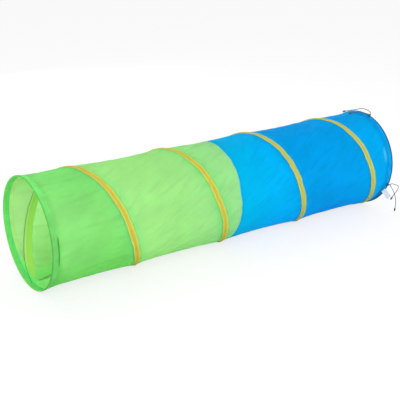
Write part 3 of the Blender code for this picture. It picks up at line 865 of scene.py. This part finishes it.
class TUNNEL_OT_cloth(bpy.types.Operator):
    """Make the green and blue cloth tubes, which dip and wrinkle between the wire turns"""
    bl_idname = "tunnel.cloth"
    bl_label = "Cloth tubes"

    def execute(self, context):
        green, blue = colours().green, colours().blue
        # Painted light and shade along the strip: the first bay lighter at its crown and darker at
        # its start and low on the near side, and the blue bays lighter or deeper bay by bay
        crown, first, low = (0.310, 0.900, 0.285), (0.305, 0.805, 0.260), (0.215, 0.750, 0.185)
        lit_blue, deep = (0.000, 0.650, 0.990), (0.000, 0.500, 0.850)
        tones = {
            "green": {
                "along_strip": (
                    (-1.0, crown), (-0.48, crown), (-0.34, first), (-0.28, first), (-0.14, low),
                    (0.15, low), (0.45, green), (1.1, green), (1.75, (0.460, 0.885, 0.350)),
                    (4.0, green)),
                "pucker_shading": (0.240, 0.850, 0.310), "binding_edge_shadow": (0.260, 0.620, 0.180),
                # inside: a paler copy, painted light through the wall; low: the inside's painted
                # tone at the floor
                "inside": (0.700, 0.930, 0.450), "low": (0.330, 1.000, 0.270),
                "haze": (1.0, 1.0, 0.84)},
            "blue": {
                "along_strip": (
                    (-1.0, blue), (1.4, lit_blue), (2.0, lit_blue), (2.6, deep), (3.1, deep),
                    (4.0, blue)),
                "pucker_shading": (0.000, 0.560, 1.000), "binding_edge_shadow": (0.030, 0.240, 0.340),
                # inside: a paler copy, painted light through the wall; low: the inside's painted
                # tone at the floor
                "inside": (0.020, 0.550, 1.000), "low": (0.000, 0.450, 0.850),
                "haze": (0.0, 0.8, 1.0)}}
        rim_inset, row_length = 0.008, 0.0054
        for colour, front, rear, turns in (
                ("green", rim_inset, cross_seam() - GAP, (1, 2)),
                ("blue", cross_seam() + GAP, sizes().length - rim_inset, (3, 4))):
            rows = round((rear - front) / row_length)
            shape = turned([(front + (rear - front) * row / rows, cloth_radius())
                            for row in range(rows + 1)], steps=264)
            bmesh.ops.solidify(shape, geom=shape.faces[:], thickness=CLOTH_WALL)
            unwrap(shape)
            inner_faces_second(shape)
            drape(shape)
            finishes = [tunnel_cloth(f"{colour}_cloth{side}", tones[colour], inside=bool(side))
                        for side in ("", "_inside")]
            made = piece(f"{colour}_cloth_tube", shape, finishes,
                         [f"{colour}_fabric_turn_{turn}" for turn in turns], sharp=70)
            rear - front
        return {"FINISHED"}


class TUNNEL_OT_spring(bpy.types.Operator):
    """Make the spring wire one unbroken screw and finish the end rings and their sleeves"""
    bl_idname = "tunnel.spring"
    bl_label = "Spring wire"

    def execute(self, context):
        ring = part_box("front_end_ring")
        ring_gap, steps, ease_in, ease_out = 0.0024, 72, 2, 6
        beside = (ring[0].x + ring[1].x + sizes().length) / 2 + ring_gap
        last = sizes().wire_turns * steps
        line = []
        for step in range(-4, last + 9):
            depth = wire_depth(step / steps)
            if step < 0:
                ease = max(0.0, 1 + step / ease_in)
                depth = beside + (sizes().front_lead - beside) * ease ** 2
            elif step > last:
                ease = max(0.0, 1 - (step - last) / ease_out)
                depth = sizes().length - beside - (sizes().rear_lead - beside) * ease ** 2
            angle = SCREW_START + step * TAU / steps
            depth += drift(depth, angle % TAU)
            line.append(around(depth, cloth_radius() + WIRE_LIFT, angle))
        steel = drawn_steel("drawn_steel", colours().steel, 0.22)
        plated = drawn_steel("plated_steel", (0.50, 0.51, 0.53), 0.3)
        piece("spring_wire", tubes([line], sizes().wire_diameter / 2), [steel],
              [f"spring_wire_turn_{turn + 1}" for turn in range(sizes().wire_turns)])
        for node, finish in (("front_end_ring", steel), ("rear_end_ring", steel),
                             ("front_ferrule", plated), ("rear_ferrule", plated)):
            mesh = frame["nodes"][node].data
            mesh.materials.clear()
            mesh.materials.append(finish.owner)
        return {"FINISHED"}


class TUNNEL_OT_binding(bpy.types.Operator):
    """Sew the yellow binding over the wire, with a tape under the cloth and two rows of stitches"""
    bl_idname = "tunnel.binding"
    bl_label = "Wire binding"

    def execute(self, context):
        base = cloth_radius()
        lean = math.atan2(pitch(), TAU * base)
        half = sizes().binding_width / 2 / math.cos(lean)
        front = sizes().hem_width + GAP
        rear = sizes().length - front

        def top(offset):
            """Height of the binding's outer face: a ridge over the wire, and thicker edges."""
            flat, ridge, ridge_width, edge, edge_width = 0.0008, 0.0026, 0.0036, 0.00035, 0.0008
            return (flat + ridge * math.exp(-(offset / ridge_width) ** 2)
                    + edge * math.exp(-((abs(offset) - half + 0.001) / edge_width) ** 2))

        offsets = [-1, -0.975, -0.93, -0.86, -0.7, -0.52, -0.38, -0.28, -0.2, -0.12, -0.05]
        offsets = [half * share for share in offsets + [-share for share in offsets[::-1]]]
        outer = [(offset, base + top(offset)) for offset in offsets[1:-1]]
        inner = [(offset, base + max(0.00025, top(offset) - 0.0007)) for offset in offsets]
        shape = screwed(outer + inner[::-1], front, rear)
        unwrap(shape, along_screw=True)
        drape(shape)
        finish = binding_tape("yellow_binding", colours().yellow)
        piece("wire_binding", shape, [finish],
              [f"wire_casing_turn_{turn + 1}" for turn in range(sizes().wire_turns)], sharp=60)
        shape = bmesh.new()
        from_end, edge_inset = 0.002, 0.0026
        for offset in (edge_inset - half, half - edge_inset):
            first, last = ((depth - offset - sizes().front_lead) / pitch()
                           for depth in (front + from_end, rear - from_end))
            placement = stitch_placement(wire_depth(first) + offset, base + top(offset) + 0.0001,
                                         SCREW_START + first * TAU, -lean)
            turns = last - first
            add_stitch_row(shape, placement, turns * TAU * base, turns, turns * pitch())
        drape(shape)
        piece("binding_stitches", shape, [thread("yellow_thread", (0.72, 0.66, 0.14))])
        self.add_inner_tape()
        return {"FINISHED"}

    def add_inner_tape(self):
        """Tape inside the tunnel, which the binding's stitches catch, with a loose front edge."""
        inset = sizes().hem_width + sizes().facing_width + 0.0008
        section = [(offset, cloth_radius() - CLOTH_WALL + lift) for offset, lift in (
            (-0.0245, -0.0030), (-0.0225, -0.0016), (-0.0190, -0.0002), (0.0160, -0.0002),
            (0.0160, -0.0006), (-0.0190, -0.0006), (-0.0223, -0.0021), (-0.0242, -0.0034))]
        for colour, front, rear, tone in (
                ("green", inset, cross_seam() - GAP, (0.60, 0.93, 0.30)),
                ("blue", cross_seam() + GAP, sizes().length - inset, (0.06, 0.50, 0.90))):
            shape = screwed(section, front, rear)
            unwrap(shape, along_screw=True)
            drape(shape)
            piece(f"{colour}_inner_tape", shape, [inner_tape_cloth(f"{colour}_tape", tone)],
                  sharp=60)


class TUNNEL_OT_hems(bpy.types.Operator):
    """Fold the hems over their rings, with stitches and the facing turned in behind"""
    bl_idname = "tunnel.hems"
    bl_label = "Hems and facings"

    def hem_section(self):
        """Closed outline of a hem: depth behind the rim, and height over its outer radius."""
        def fold(wall, *degrees):
            """Bend round the end ring, a wall's thickness behind the outer face."""
            bend = HEM_BEND - wall
            return [(wall + bend * (1 - math.cos(a)), bend * math.sin(a) - HEM_BEND)
                    for a in map(math.radians, degrees)]

        width = sizes().hem_width
        outside = [(width, -0.0032), (0.0240, -0.0031), (0.0225, -0.0031),
                   (HEM_STITCHES, -0.0031), (0.0198, -0.0029), (0.0170, -0.0021),
                   (0.0120, -0.0009), (0.0075, -0.0001), (0.0045, 0.0)]
        lining = [(0.0045, -0.0062), (0.0120, -0.0062), (HEM_STITCHES, -0.0060),
                  (width, -0.0060)]
        return (outside + fold(0.0, 75, 50, 25, 0, -25, -50, -75) + lining
                + [(depth, height + HEM_WALL) for depth, height in lining[::-1]]
                + fold(HEM_WALL, -60, 0, 60)
                + [(depth, height - HEM_WALL) for depth, height in outside[::-1]])

    def over_wire(self, depth, angle):
        """How far the hem's outer layer is lifted where the spring wire passes under it."""
        lift, reach, last_inset = 0.0026, 0.006, 0.0059
        turns = (angle - SCREW_START) / TAU
        if depth > sizes().length / 2:
            turns += sizes().wire_turns - 1 if turns > 0.5 else sizes().wire_turns
        wire = wire_depth(turns)
        if turns > sizes().wire_turns - 0.2:
            wire = min(wire, sizes().length - last_inset)
        return lift * math.exp(-((depth - wire) / reach) ** 2)

    def ruffle(self, shape, from_rim):
        """Slight waves in the hem's loose edge, and one pucker low on the near side in front."""
        wave_height, gather_height, gathers_round = 0.0005, 0.0002, 170
        pucker_height, pucker_angle, pucker_width = 0.0026, 272, 12
        firm_depth, loose_reach, gather_reach, under_rim = 0.012, 0.014, 0.004, 0.0006
        for vert in shape.verts:
            radius = math.hypot(vert.co.y, vert.co.z)
            if radius < sizes().radius - HEM_BEND:
                continue
            depth, angle = vert.co.x, angle_of(vert.co)
            room = max(0.0, sizes().radius - under_rim - radius)
            lift = min(self.over_wire(depth, angle), room)
            loose = max(0.0, min(1.0, (from_rim(depth) - firm_depth) / loose_reach))
            by_stitches = max(0.0, 1 - abs(from_rim(depth) - HEM_STITCHES) / gather_reach)
            wave = wave_height * fold_noise(depth, angle, HEM_WAVES)
            wave += gather_height * by_stitches * math.sin(angle * gathers_round)
            if depth < sizes().length / 2:
                swing = (math.degrees(angle) - pucker_angle) / pucker_width
                wave += pucker_height * math.exp(-swing * swing) * loose
            push_out(vert, loose * wave + lift)

    def execute(self, context):
        # Tones of the outer cloth, its rim, the lining, its rim, the facing and its painted shade
        # low down
        tones = {
            "green": (colours().deep_green, (0.180, 0.780, 0.150), (0.160, 0.860, 0.300),
                      (0.230, 0.860, 0.180), (0.800, 0.960, 0.540), (0.280, 0.950, 0.220)),
            "blue": ((0.000, 0.480, 0.870), colours().deep_blue, (0.000, 0.420, 0.880),
                     (0.000, 0.500, 0.950), (0.300, 0.650, 0.950), (0.000, 0.450, 0.850))}
        for end, colour, from_rim, rim_width, shadow in (
                ("front", "green", lambda depth: depth, 0.0040, (0.80, 240, 335, 0.10)),
                ("rear", "blue", lambda depth: sizes().length - depth, 0.0085,
                 (0.45, 305, 350, 0.03))):
            cloth, rim, lining, lining_rim, facing, low = tones[colour]
            shape = turned([(from_rim(depth), sizes().radius + height)
                            for depth, height in self.hem_section()], steps=288, closed=True)
            self.ruffle(shape, from_rim)
            unwrap(shape)
            inner_faces_second(shape)
            finishes = [
                doubled_cloth(f"{colour}_hem_cloth", cloth, 0.4, (rim, rim_width), shadow=shadow),
                doubled_cloth(f"{colour}_hem_lining", lining, 0.2, (lining_rim, 0.0160),
                              tape=end == "front")]
            piece(f"{end}_hem_fold", shape, finishes, [f"{end}_hem"],
                  f"{end}_end", sharp=50)
            shape = bmesh.new()
            stitch_round(shape, from_rim(HEM_STITCHES), HEM_LIFT - 0.0030)
            self.ruffle(shape, from_rim)
            seam_thread = thread(f"{colour}_thread", tuple(0.8 * channel for channel in cloth))
            piece(f"{end}_hem_stitches", shape, [seam_thread], body=f"{end}_end")
            self.add_facing(end, colour, facing, low, from_rim)
        return {"FINISHED"}

    def slacken(self, shape, end, from_rim, start):
        """Wave a facing's loose edge, and stretch the front one straight across, low and near."""
        wave_height, stretch_height, stretch_angle, stretch_width = 0.0011, 0.044, 330, 30
        for vert in shape.verts:
            depth, angle = vert.co.x, angle_of(vert.co)
            loose = (from_rim(depth) - start) / sizes().facing_width
            lift = wave_height * fold_noise(depth, angle, FACING_WAVES)
            if end == "front":
                swing = abs((math.degrees(angle) - stretch_angle + 180) % 360 - 180)
                swing = (swing / stretch_width) ** 2.7
                lift -= stretch_height * math.exp(-swing) * max(0.0, loose)
            push_out(vert, loose * lift)

    def add_facing(self, end, colour, tone, floor_shade_tone, from_rim):
        """Cloth turned in behind the hem, with a loose overlocked edge inside the tunnel."""
        start = sizes().hem_width + GAP
        width = sizes().facing_width
        rows = 8
        outer = [(from_rim(start + width * row / rows),
                  cloth_radius() + FACING_LIFT - FACING_SAG * (row / rows) ** 1.5)
                 for row in range(rows + 1)]
        inner = [(depth, radius - CLOTH_WALL) for depth, radius in outer[::-1]]
        shape = turned(outer + inner, steps=240, closed=True)
        unwrap(shape)
        self.slacken(shape, end, from_rim, start)
        piece(f"{end}_facing", shape, [facing_cloth(f"{colour}_facing_cloth", tone, floor_shade_tone)],
              sharp=60)
        shape = bmesh.new()
        stitch_round(shape, from_rim(start + width - 0.0010), FACING_LIFT - FACING_SAG - 0.0004,
                     math.radians(60))
        self.slacken(shape, end, from_rim, start)
        pale = tuple(0.5 + 0.5 * channel for channel in tone)
        piece(f"{end}_overlock", shape, [thread(f"pale_{colour}_thread", pale)])


class TUNNEL_OT_seams(bpy.types.Operator):
    """Sew the cross seam between the two colours and the lengthwise seams under the tunnel"""
    bl_idname = "tunnel.seams"
    bl_label = "Seams"

    def execute(self, context):
        green, blue = colours().green, colours().blue
        self.add_strip("cross_seam_lap", cloth_radius(), (
            (-0.0012, 0.00005), (-0.0010, 0.00030), (0.0006, 0.00040), (0.0070, 0.00030),
            (0.0076, 0.00005)), doubled_cloth("blue_lap_cloth", blue, edge=cross_seam() - 0.0008))
        shape = bmesh.new()
        for offset in (0.0016, 0.0058):
            stitch_round(shape, cross_seam() + offset, lift=0.0004)
        drape(shape)
        piece("cross_seam_stitches", shape, [thread("blue_seam_thread", (0.0, 0.25, 0.70))])
        self.add_strip("cross_seam_allowance", cloth_radius() - CLOTH_WALL, (
            (-0.0010, -0.0003), (0.0100, -0.0004), (0.0130, -0.0016), (0.0128, -0.0021),
            (0.0098, -0.0009), (-0.0010, -0.0007)),
            doubled_cloth("seam_allowance_cloth", (0.010, 0.420, 0.560)))
        hem_inset = sizes().hem_width + 0.0004
        self.add_lengthwise("green", hem_inset, cross_seam() - 0.0006, green)
        self.add_lengthwise("blue", cross_seam() + 0.0080, sizes().length - hem_inset, blue)
        return {"FINISHED"}

    def add_strip(self, name, radius, section, finish):
        """Strip of cloth round the tunnel, from offsets behind the cross seam and heights."""
        shape = turned([(cross_seam() + offset, radius + lift) for offset, lift in section],
                       steps=288, closed=True)
        unwrap(shape)
        drape(shape)
        piece(name, shape, [finish], sharp=60)

    def add_lengthwise(self, colour, front, rear, tone):
        """Lapped seam along one cloth tube, low on the near side, with two rows of stitches."""
        base = cloth_radius()
        seam_angle = math.radians(338)
        width, row_length = 0.0070, 0.008
        stitch_aside, stitch_lift, stitch_inset, end_margin = 0.0024, 0.0003, 0.003, 0.004
        shape = bmesh.new()
        section = ((-0.5, 0.00004), (-0.44, 0.00024), (0.44, 0.00024), (0.5, 0.00004))
        geometry = line_of(shape, [around(front, base + lift, seam_angle + share * width / base)
                                   for share, lift in section], closed=True)
        drawn_out(shape, geometry, rear - front, round((rear - front) / row_length))
        close(shape)
        unwrap(shape)
        drape(shape)
        deep = tuple(0.85 * channel for channel in tone)
        piece(f"{colour}_long_seam", shape, [doubled_cloth(f"{colour}_long_seam_cloth", deep)],
              sharp=60)
        shape = bmesh.new()
        for side in (-1, 1):
            angle = seam_angle + side * stitch_aside / base
            for number in range(int((rear - front - end_margin) / sizes().stitch_length)):
                depth = front + stitch_inset + number * sizes().stitch_length
                add_stitch(shape, stitch_placement(depth, base + stitch_lift, angle, math.pi / 2))
        drape(shape)
        darker = tuple(0.7 * channel for channel in tone)
        piece(f"{colour}_long_stitches", shape, [thread(f"{colour}_long_thread", darker)])


def smooth_line(route, spacing):
    """Evenly spaced points on a smooth curve through the route's own points."""
    points = [Vector(point) for point in route]
    points = [2 * points[0] - points[1], *points, 2 * points[-1] - points[-2]]
    fine = []
    for before, start, end, after in zip(points, points[1:], points[2:], points[3:]):
        for t in (step / 24 for step in range(24)):
            fine.append(0.5 * (2 * start + (end - before) * t
                               + (2 * before - 5 * start + 4 * end - after) * t ** 2
                               + (3 * start - before - 3 * end + after) * t ** 3))
    fine.append(points[-2])
    travelled = [0.0]
    for one, two in zip(fine, fine[1:]):
        travelled.append(travelled[-1] + (two - one).length)
    count = max(2, round(travelled[-1] / spacing))
    line, place = [], 0
    for number in range(count + 1):
        target = travelled[-1] * number / count
        while place < len(fine) - 2 and travelled[place + 1] < target:
            place += 1
        share = (target - travelled[place]) / (travelled[place + 1] - travelled[place])
        line.append(fine[place].lerp(fine[place + 1], share))
    return line


def strands(line, diameter):
    """Three strands twisted round a line."""
    reach = diameter / 2 * STRAND_REACH
    lay = STRAND_LAY * diameter
    side = (line[1] - line[0]).orthogonal().normalized()
    found = [[], [], []]
    travelled = 0.0
    for number, point in enumerate(line):
        ahead = line[min(number + 1, len(line) - 1)] - line[max(number - 1, 0)]
        ahead.normalize()
        side = (side - ahead * side.dot(ahead)).normalized()
        other = ahead.cross(side)
        if number:
            travelled += (point - line[number - 1]).length
        for strand in range(3):
            angle = TAU * (travelled / lay + strand / 3)
            found[strand].append(point + (side * math.cos(angle) + other * math.sin(angle)) * reach)
    return found


class TUNNEL_OT_ties(bpy.types.Operator):
    """Knot the two tie cords to their tape loops on the rear hem"""
    bl_idname = "tunnel.ties"
    bl_label = "Ties"

    def over_hem(self, behind, lift, degrees):
        """Point of an upper tail in tunnel coordinates."""
        return around(sizes().length + behind, hem_corner_radius() + lift, math.radians(degrees))

    def over_floor(self, behind, y, height):
        """Point of a lower tail in tunnel coordinates."""
        return Vector((sizes().length + behind, y, height - sizes().radius))

    def knot_centre(self, angle):
        """Middle of the knot behind a tape loop."""
        depth = sizes().length - TAB_INSET + CLEARANCE + KNOT_RADIUS
        return around(depth, hem_corner_radius() + CLEARANCE + KNOT_RADIUS, angle)

    def add_tab(self, name, angle, finish):
        """Tape loop that stands on the hem."""
        half = TAB_SPAN / 2
        inner = half - 2 * TAB_THICKNESS
        middle, bend, bend_height, sunk = TAB_THICKNESS / 2, 0.0008, 0.0006, 0.0004
        arch = [((inner + middle) * math.cos(a), (TAB_HEIGHT - middle) * math.sin(a))
                for a in map(math.radians, range(15, 166, 15))]
        path = [(half, middle), (inner + bend, bend_height), *arch, (-inner - bend, bend_height),
                (-half, middle)]
        outward, aside = directions(angle)
        foot = around(sizes().length - TAB_INSET - TAB_WIDTH, hem_corner_radius() - sunk, angle)
        shape = bmesh.new()
        geometry = line_of(shape, [foot + aside * x + outward * y for x, y in path])
        drawn_out(shape, geometry, TAB_WIDTH)
        bmesh.ops.recalc_face_normals(shape, faces=shape.faces[:])
        bmesh.ops.solidify(shape, geom=shape.faces[:], thickness=TAB_THICKNESS * 0.8)
        corners = [edge for edge in shape.edges if edge.calc_face_angle(0) > 0.9]
        bmesh.ops.bevel(shape, geom=corners, offset=0.0002, segments=2, profile=0.5,
                        affect="EDGES", material=-1)
        long_edges = [edge for edge in shape.edges if edge.calc_length() > 0.005]
        bmesh.ops.subdivide_edges(shape, edges=long_edges, cuts=3, use_grid_fill=True)
        unwrap(shape)
        piece(f"tape_loop_{name}", shape, [finish], [f"tie_tab_{name}"], "rear_end")

    def add_knot(self, name, angle, finish):
        """Knot of the cord, and its loop through the tape."""
        centre = self.knot_centre(angle)
        radius = sizes().cord_diameter / 2
        reach, deepness = (KNOT_RADIUS - radius) / 3, 1.6
        loop_reach, loop_shift, loop_height, loop_lift = 0.0072, 0.0008, 0.0028, 0.0046
        outward, aside = directions(angle)
        knot = [centre + (aside * (math.sin(t) + 2 * math.sin(2 * t))
                          + outward * (math.cos(t) - 2 * math.cos(2 * t))
                          - ALONG * math.sin(3 * t) * deepness) * reach
                for t in (TAU * step / 60 for step in range(60))]
        tab_middle = around(sizes().length - TAB_INSET - TAB_WIDTH / 2,
                            hem_corner_radius() + loop_lift, angle)
        loop = [tab_middle + ALONG * (loop_reach * math.cos(t) + loop_shift)
                + outward * loop_height * math.sin(t)
                for t in (TAU * step / 40 for step in range(40))]
        return piece(f"cord_knot_{name}", tubes([knot, loop], radius, closed=True), [finish],
                     [f"tie_knot_{name}"], "rear_end")

    def add_tip(self, name, end, direction, finish):
        """Wound knot at the end of a tail, with a short frayed stub."""
        radius = sizes().cord_diameter / 2
        side = direction.orthogonal().normalized()
        other = direction.cross(side)
        start = end + direction * CLEARANCE
        count = round(TIP_WOUND / (2 * radius) * TIP_STEPS)
        coil_end, core_end = TIP_LENGTH - 0.003, TIP_LENGTH - 0.0015
        coil = [start + direction * (radius + (TIP_WOUND - 2 * radius) * step / count)
                + (side * math.cos(turn) + other * math.sin(turn)) * (TIP_RADIUS - radius)
                for step, turn in ((step, TAU * step / TIP_STEPS) for step in range(count + 1))]
        coil.append(coil[-1].lerp(start + direction * coil_end, 0.7))
        core = [start, start + direction * core_end]
        return piece(f"tip_knot_{name}", tubes([coil, core], radius), [finish],
                     [f"tail_knot_{name}"], "rear_end")

    def add_tail(self, name, angle, route, knot, finish):
        """One tail of a tie, from its knot to its wound tip."""
        centre = self.knot_centre(angle)
        start = centre + (route[0] - centre).normalized() * (KNOT_RADIUS + CLEARANCE)
        line = smooth_line([start, *route], 0.0012)
        diameter = sizes().cord_diameter
        shape = tubes(strands(line, diameter), diameter / 2 * STRAND_RADIUS, sides=1)
        tail = piece(f"tie_cord_{name}", shape, [finish], [f"tie_tail_{name}"],
                     "rear_end")
        tip = self.add_tip(name, line[-1], (line[-1] - line[-2]).normalized(), finish)
        path = [point + frame_shift() for point in line]
        length = sum((two - one).length for one, two in zip(path, path[1:]))
        tuple(path[0])

    def execute(self, context):
        yarn = cord_yarn("tie_yarn", colours().cord)
        tape = doubled_cloth("tie_tape_cloth", (0.000, 0.120, 0.420), see_through=None)
        for name, angle, place, tails in (
                ("upper", UPPER_TIE_ANGLE, self.over_hem, UPPER_TAILS),
                ("lower", LOWER_TIE_ANGLE, self.over_floor, LOWER_TAILS)):
            self.add_tab(name, angle, tape)
            knot = self.add_knot(name, angle, yarn)
            for letter, tail in zip("ab", tails):
                self.add_tail(f"{name}_{letter}", angle, [place(*point) for point in tail], knot,
                              yarn)
        return {"FINISHED"}


class TUNNEL_OT_label(bpy.types.Operator):
    """Sew the blank care label to the rear hem"""
    bl_idname = "tunnel.label"
    bl_label = "Care label"

    def execute(self, context):
        outward, aside = directions(LABEL_ANGLE)
        across_it = ALONG * math.cos(LABEL_SLANT) + aside * math.sin(LABEL_SLANT)
        over_it = -ALONG * math.sin(LABEL_SLANT) + aside * math.cos(LABEL_SLANT)
        root = around(sizes().length - LABEL_INSET, sizes().radius - 0.0004, LABEL_ANGLE)
        width, reach = sizes().label_width, sizes().label_reach
        curl, wave, stitches, spacing = 0.0016, 0.0010, 6, 0.0038
        shape = bmesh.new()
        bmesh.ops.create_grid(shape, x_segments=10, y_segments=22, size=0.5, calc_uvs=False)
        layer = shape.loops.layers.uv.new("UVMap")
        for face in shape.faces:
            for loop in face.loops:
                loop[layer].uv = (loop.vert.co.x * width, (loop.vert.co.y + 0.5) * reach)
        for vert in shape.verts:
            x, share = vert.co.x, vert.co.y + 0.5
            height = share * reach
            over = math.tan(LABEL_BEND) * height ** 2 / reach
            over += share * (curl * math.cos(x * math.pi) + wave * math.sin(share * 5))
            vert.co = root + across_it * x * width + outward * height + over_it * over
        bmesh.ops.recalc_face_normals(shape, faces=shape.faces[:])
        bmesh.ops.solidify(shape, geom=shape.faces[:], thickness=0.0004)
        label = piece("satin_label", shape, [satin("label_satin", colours().label)],
                      ["care_label"], "rear_end", sharp=50)
        shape = bmesh.new()
        axes = Matrix((over_it, across_it, outward)).transposed().to_4x4()
        for number in range(stitches):
            shift = across_it * (number - (stitches - 1) / 2) * spacing
            axes.translation = root + shift + outward * 0.0016 - over_it * 0.0002
            add_stitch(shape, axes, length=0.0026, width=0.0014, height=0.0006)
        piece("label_stitches", shape, [thread("label_thread", (0.0, 0.25, 0.65))],
              body="rear_end")
        return {"FINISHED"}


class TUNNEL_OT_stage(bpy.types.Operator):
    """Set up the floor, the soft light and the camera"""
    bl_idname = "tunnel.stage"
    bl_label = "Stage"

    def add_lamp(self, name, place, size, power):
        """Square soft box aimed at the tunnel's middle."""
        lamp = bpy.data.lights.new(name, "AREA")
        lamp.shape = "SQUARE"
        lamp.size = size
        lamp.energy = power
        holder = add_object(name, lamp)
        holder.location = place
        aim = Vector((0, 0, 0.2)) - Vector(place)
        holder.rotation_euler = aim.to_track_quat("-Z", "Y").to_euler()

    def add_floor(self):
        """Pale floor that keeps the tunnel's shadow and is nearly white for the camera."""
        shape = bmesh.new()
        bmesh.ops.create_circle(shape, cap_ends=True, segments=96, radius=30)
        floor = add_object("floor", mesh_of(shape, "floor"))
        finish = Finish("pale_floor")
        grain = finish.speckle(finish.place(), 3.0)
        paint = finish.node("ShaderNodeBsdfPrincipled", None, {
            "Base Color": finish.shade((0.92, 0.92, 0.92), 0.99, 1.01, grain), "Roughness": 0.9})
        white = finish.node("ShaderNodeEmission", None, {"Color": (1, 1, 1, 1), "Strength": 1.05})
        seen = finish.node("ShaderNodeLightPath", output="Is Camera Ray")
        mixed = finish.node("ShaderNodeMixShader", None, {0: seen * 0.72, 1: paint, 2: white})
        finish.node("ShaderNodeOutputMaterial", None, {"Surface": mixed})
        floor.data.materials.append(finish.owner)

    def add_world(self):
        """Even pale light, seen as white."""
        world = bpy.data.worlds.new("studio")
        bpy.context.scene.world = world
        finish = Finish("studio", world)
        light, seen = (finish.node("ShaderNodeBackground", None, {
            "Color": (1, 1, 1, 1), "Strength": strength}) for strength in (0.70, 1.0))
        rays = white = finish.node("ShaderNodeLightPath", output="Is Camera Ray")
        for name in ("Is Glossy Ray", "Is Transmission Ray"):
            white = white.math("MAXIMUM", rays.other(name))
        mixed = finish.node("ShaderNodeMixShader", None, {0: white, 1: light, 2: seen})
        finish.node("ShaderNodeOutputWorld", None, {"Surface": mixed})

    def execute(self, context):
        scene = context.scene
        lens = bpy.data.cameras.new("camera")
        lens.lens = 77.21
        lens.sensor_width = 36.0
        lens.clip_end = 100
        camera = add_object("camera", lens)
        camera.location = (-2.1160, -2.9428, 1.5122)
        camera.rotation_euler = (math.radians(69.91), 0, math.radians(-34.78))
        scene.camera = camera
        scene.view_settings.view_transform = "Standard"
        self.add_lamp("key", (-2.4, -3.6, 2.6), 3.2, 80)
        self.add_lamp("fill", (2.6, -3.4, 1.4), 2.4, 45)
        self.add_lamp("top", (0.6, 1.8, 4.2), 3.5, 28)
        self.add_lamp("back", (-0.4, 3.4, 1.4), 2.6, 30)
        self.add_floor()
        self.add_world()
        return {"FINISHED"}


class TUNNEL_PT_panel(bpy.types.Panel):
    """Lists the pieces of the tunnel"""
    bl_idname = "TUNNEL_PT_panel"
    bl_label = "Crawl tunnel"
    bl_space_type = "VIEW_3D"
    bl_region_type = "UI"
    bl_category = "Tunnel"

    def draw(self, context):
        for maker in MAKERS:
            self.layout.operator(maker.bl_idname)
        for group in (context.scene.tunnel_sizes, context.scene.tunnel_colours):
            for name in group.__annotations__:
                self.layout.prop(group, name)


MAKERS = (TUNNEL_OT_stage, TUNNEL_OT_ties, TUNNEL_OT_spring, TUNNEL_OT_cloth, TUNNEL_OT_binding,
          TUNNEL_OT_hems, TUNNEL_OT_seams, TUNNEL_OT_label)
CLASSES = (TunnelSizes, TunnelColours, *MAKERS, TUNNEL_PT_panel)


def register():
    """Add the classes and the scene's settings."""
    for item in CLASSES:
        bpy.utils.register_class(item)
    bpy.types.Scene.tunnel_sizes = PointerProperty(type=TunnelSizes)
    bpy.types.Scene.tunnel_colours = PointerProperty(type=TunnelColours)


def unregister():
    """Take the classes and the settings away again."""
    del bpy.types.Scene.tunnel_colours
    del bpy.types.Scene.tunnel_sizes
    for item in reversed(CLASSES):
        bpy.utils.unregister_class(item)


def main():
    """Make every piece in order."""
    register()
    for maker in MAKERS:
        group, name = maker.bl_idname.split(".")
        getattr(getattr(bpy.ops, group), name)()


if __name__ == "__main__":
    main()
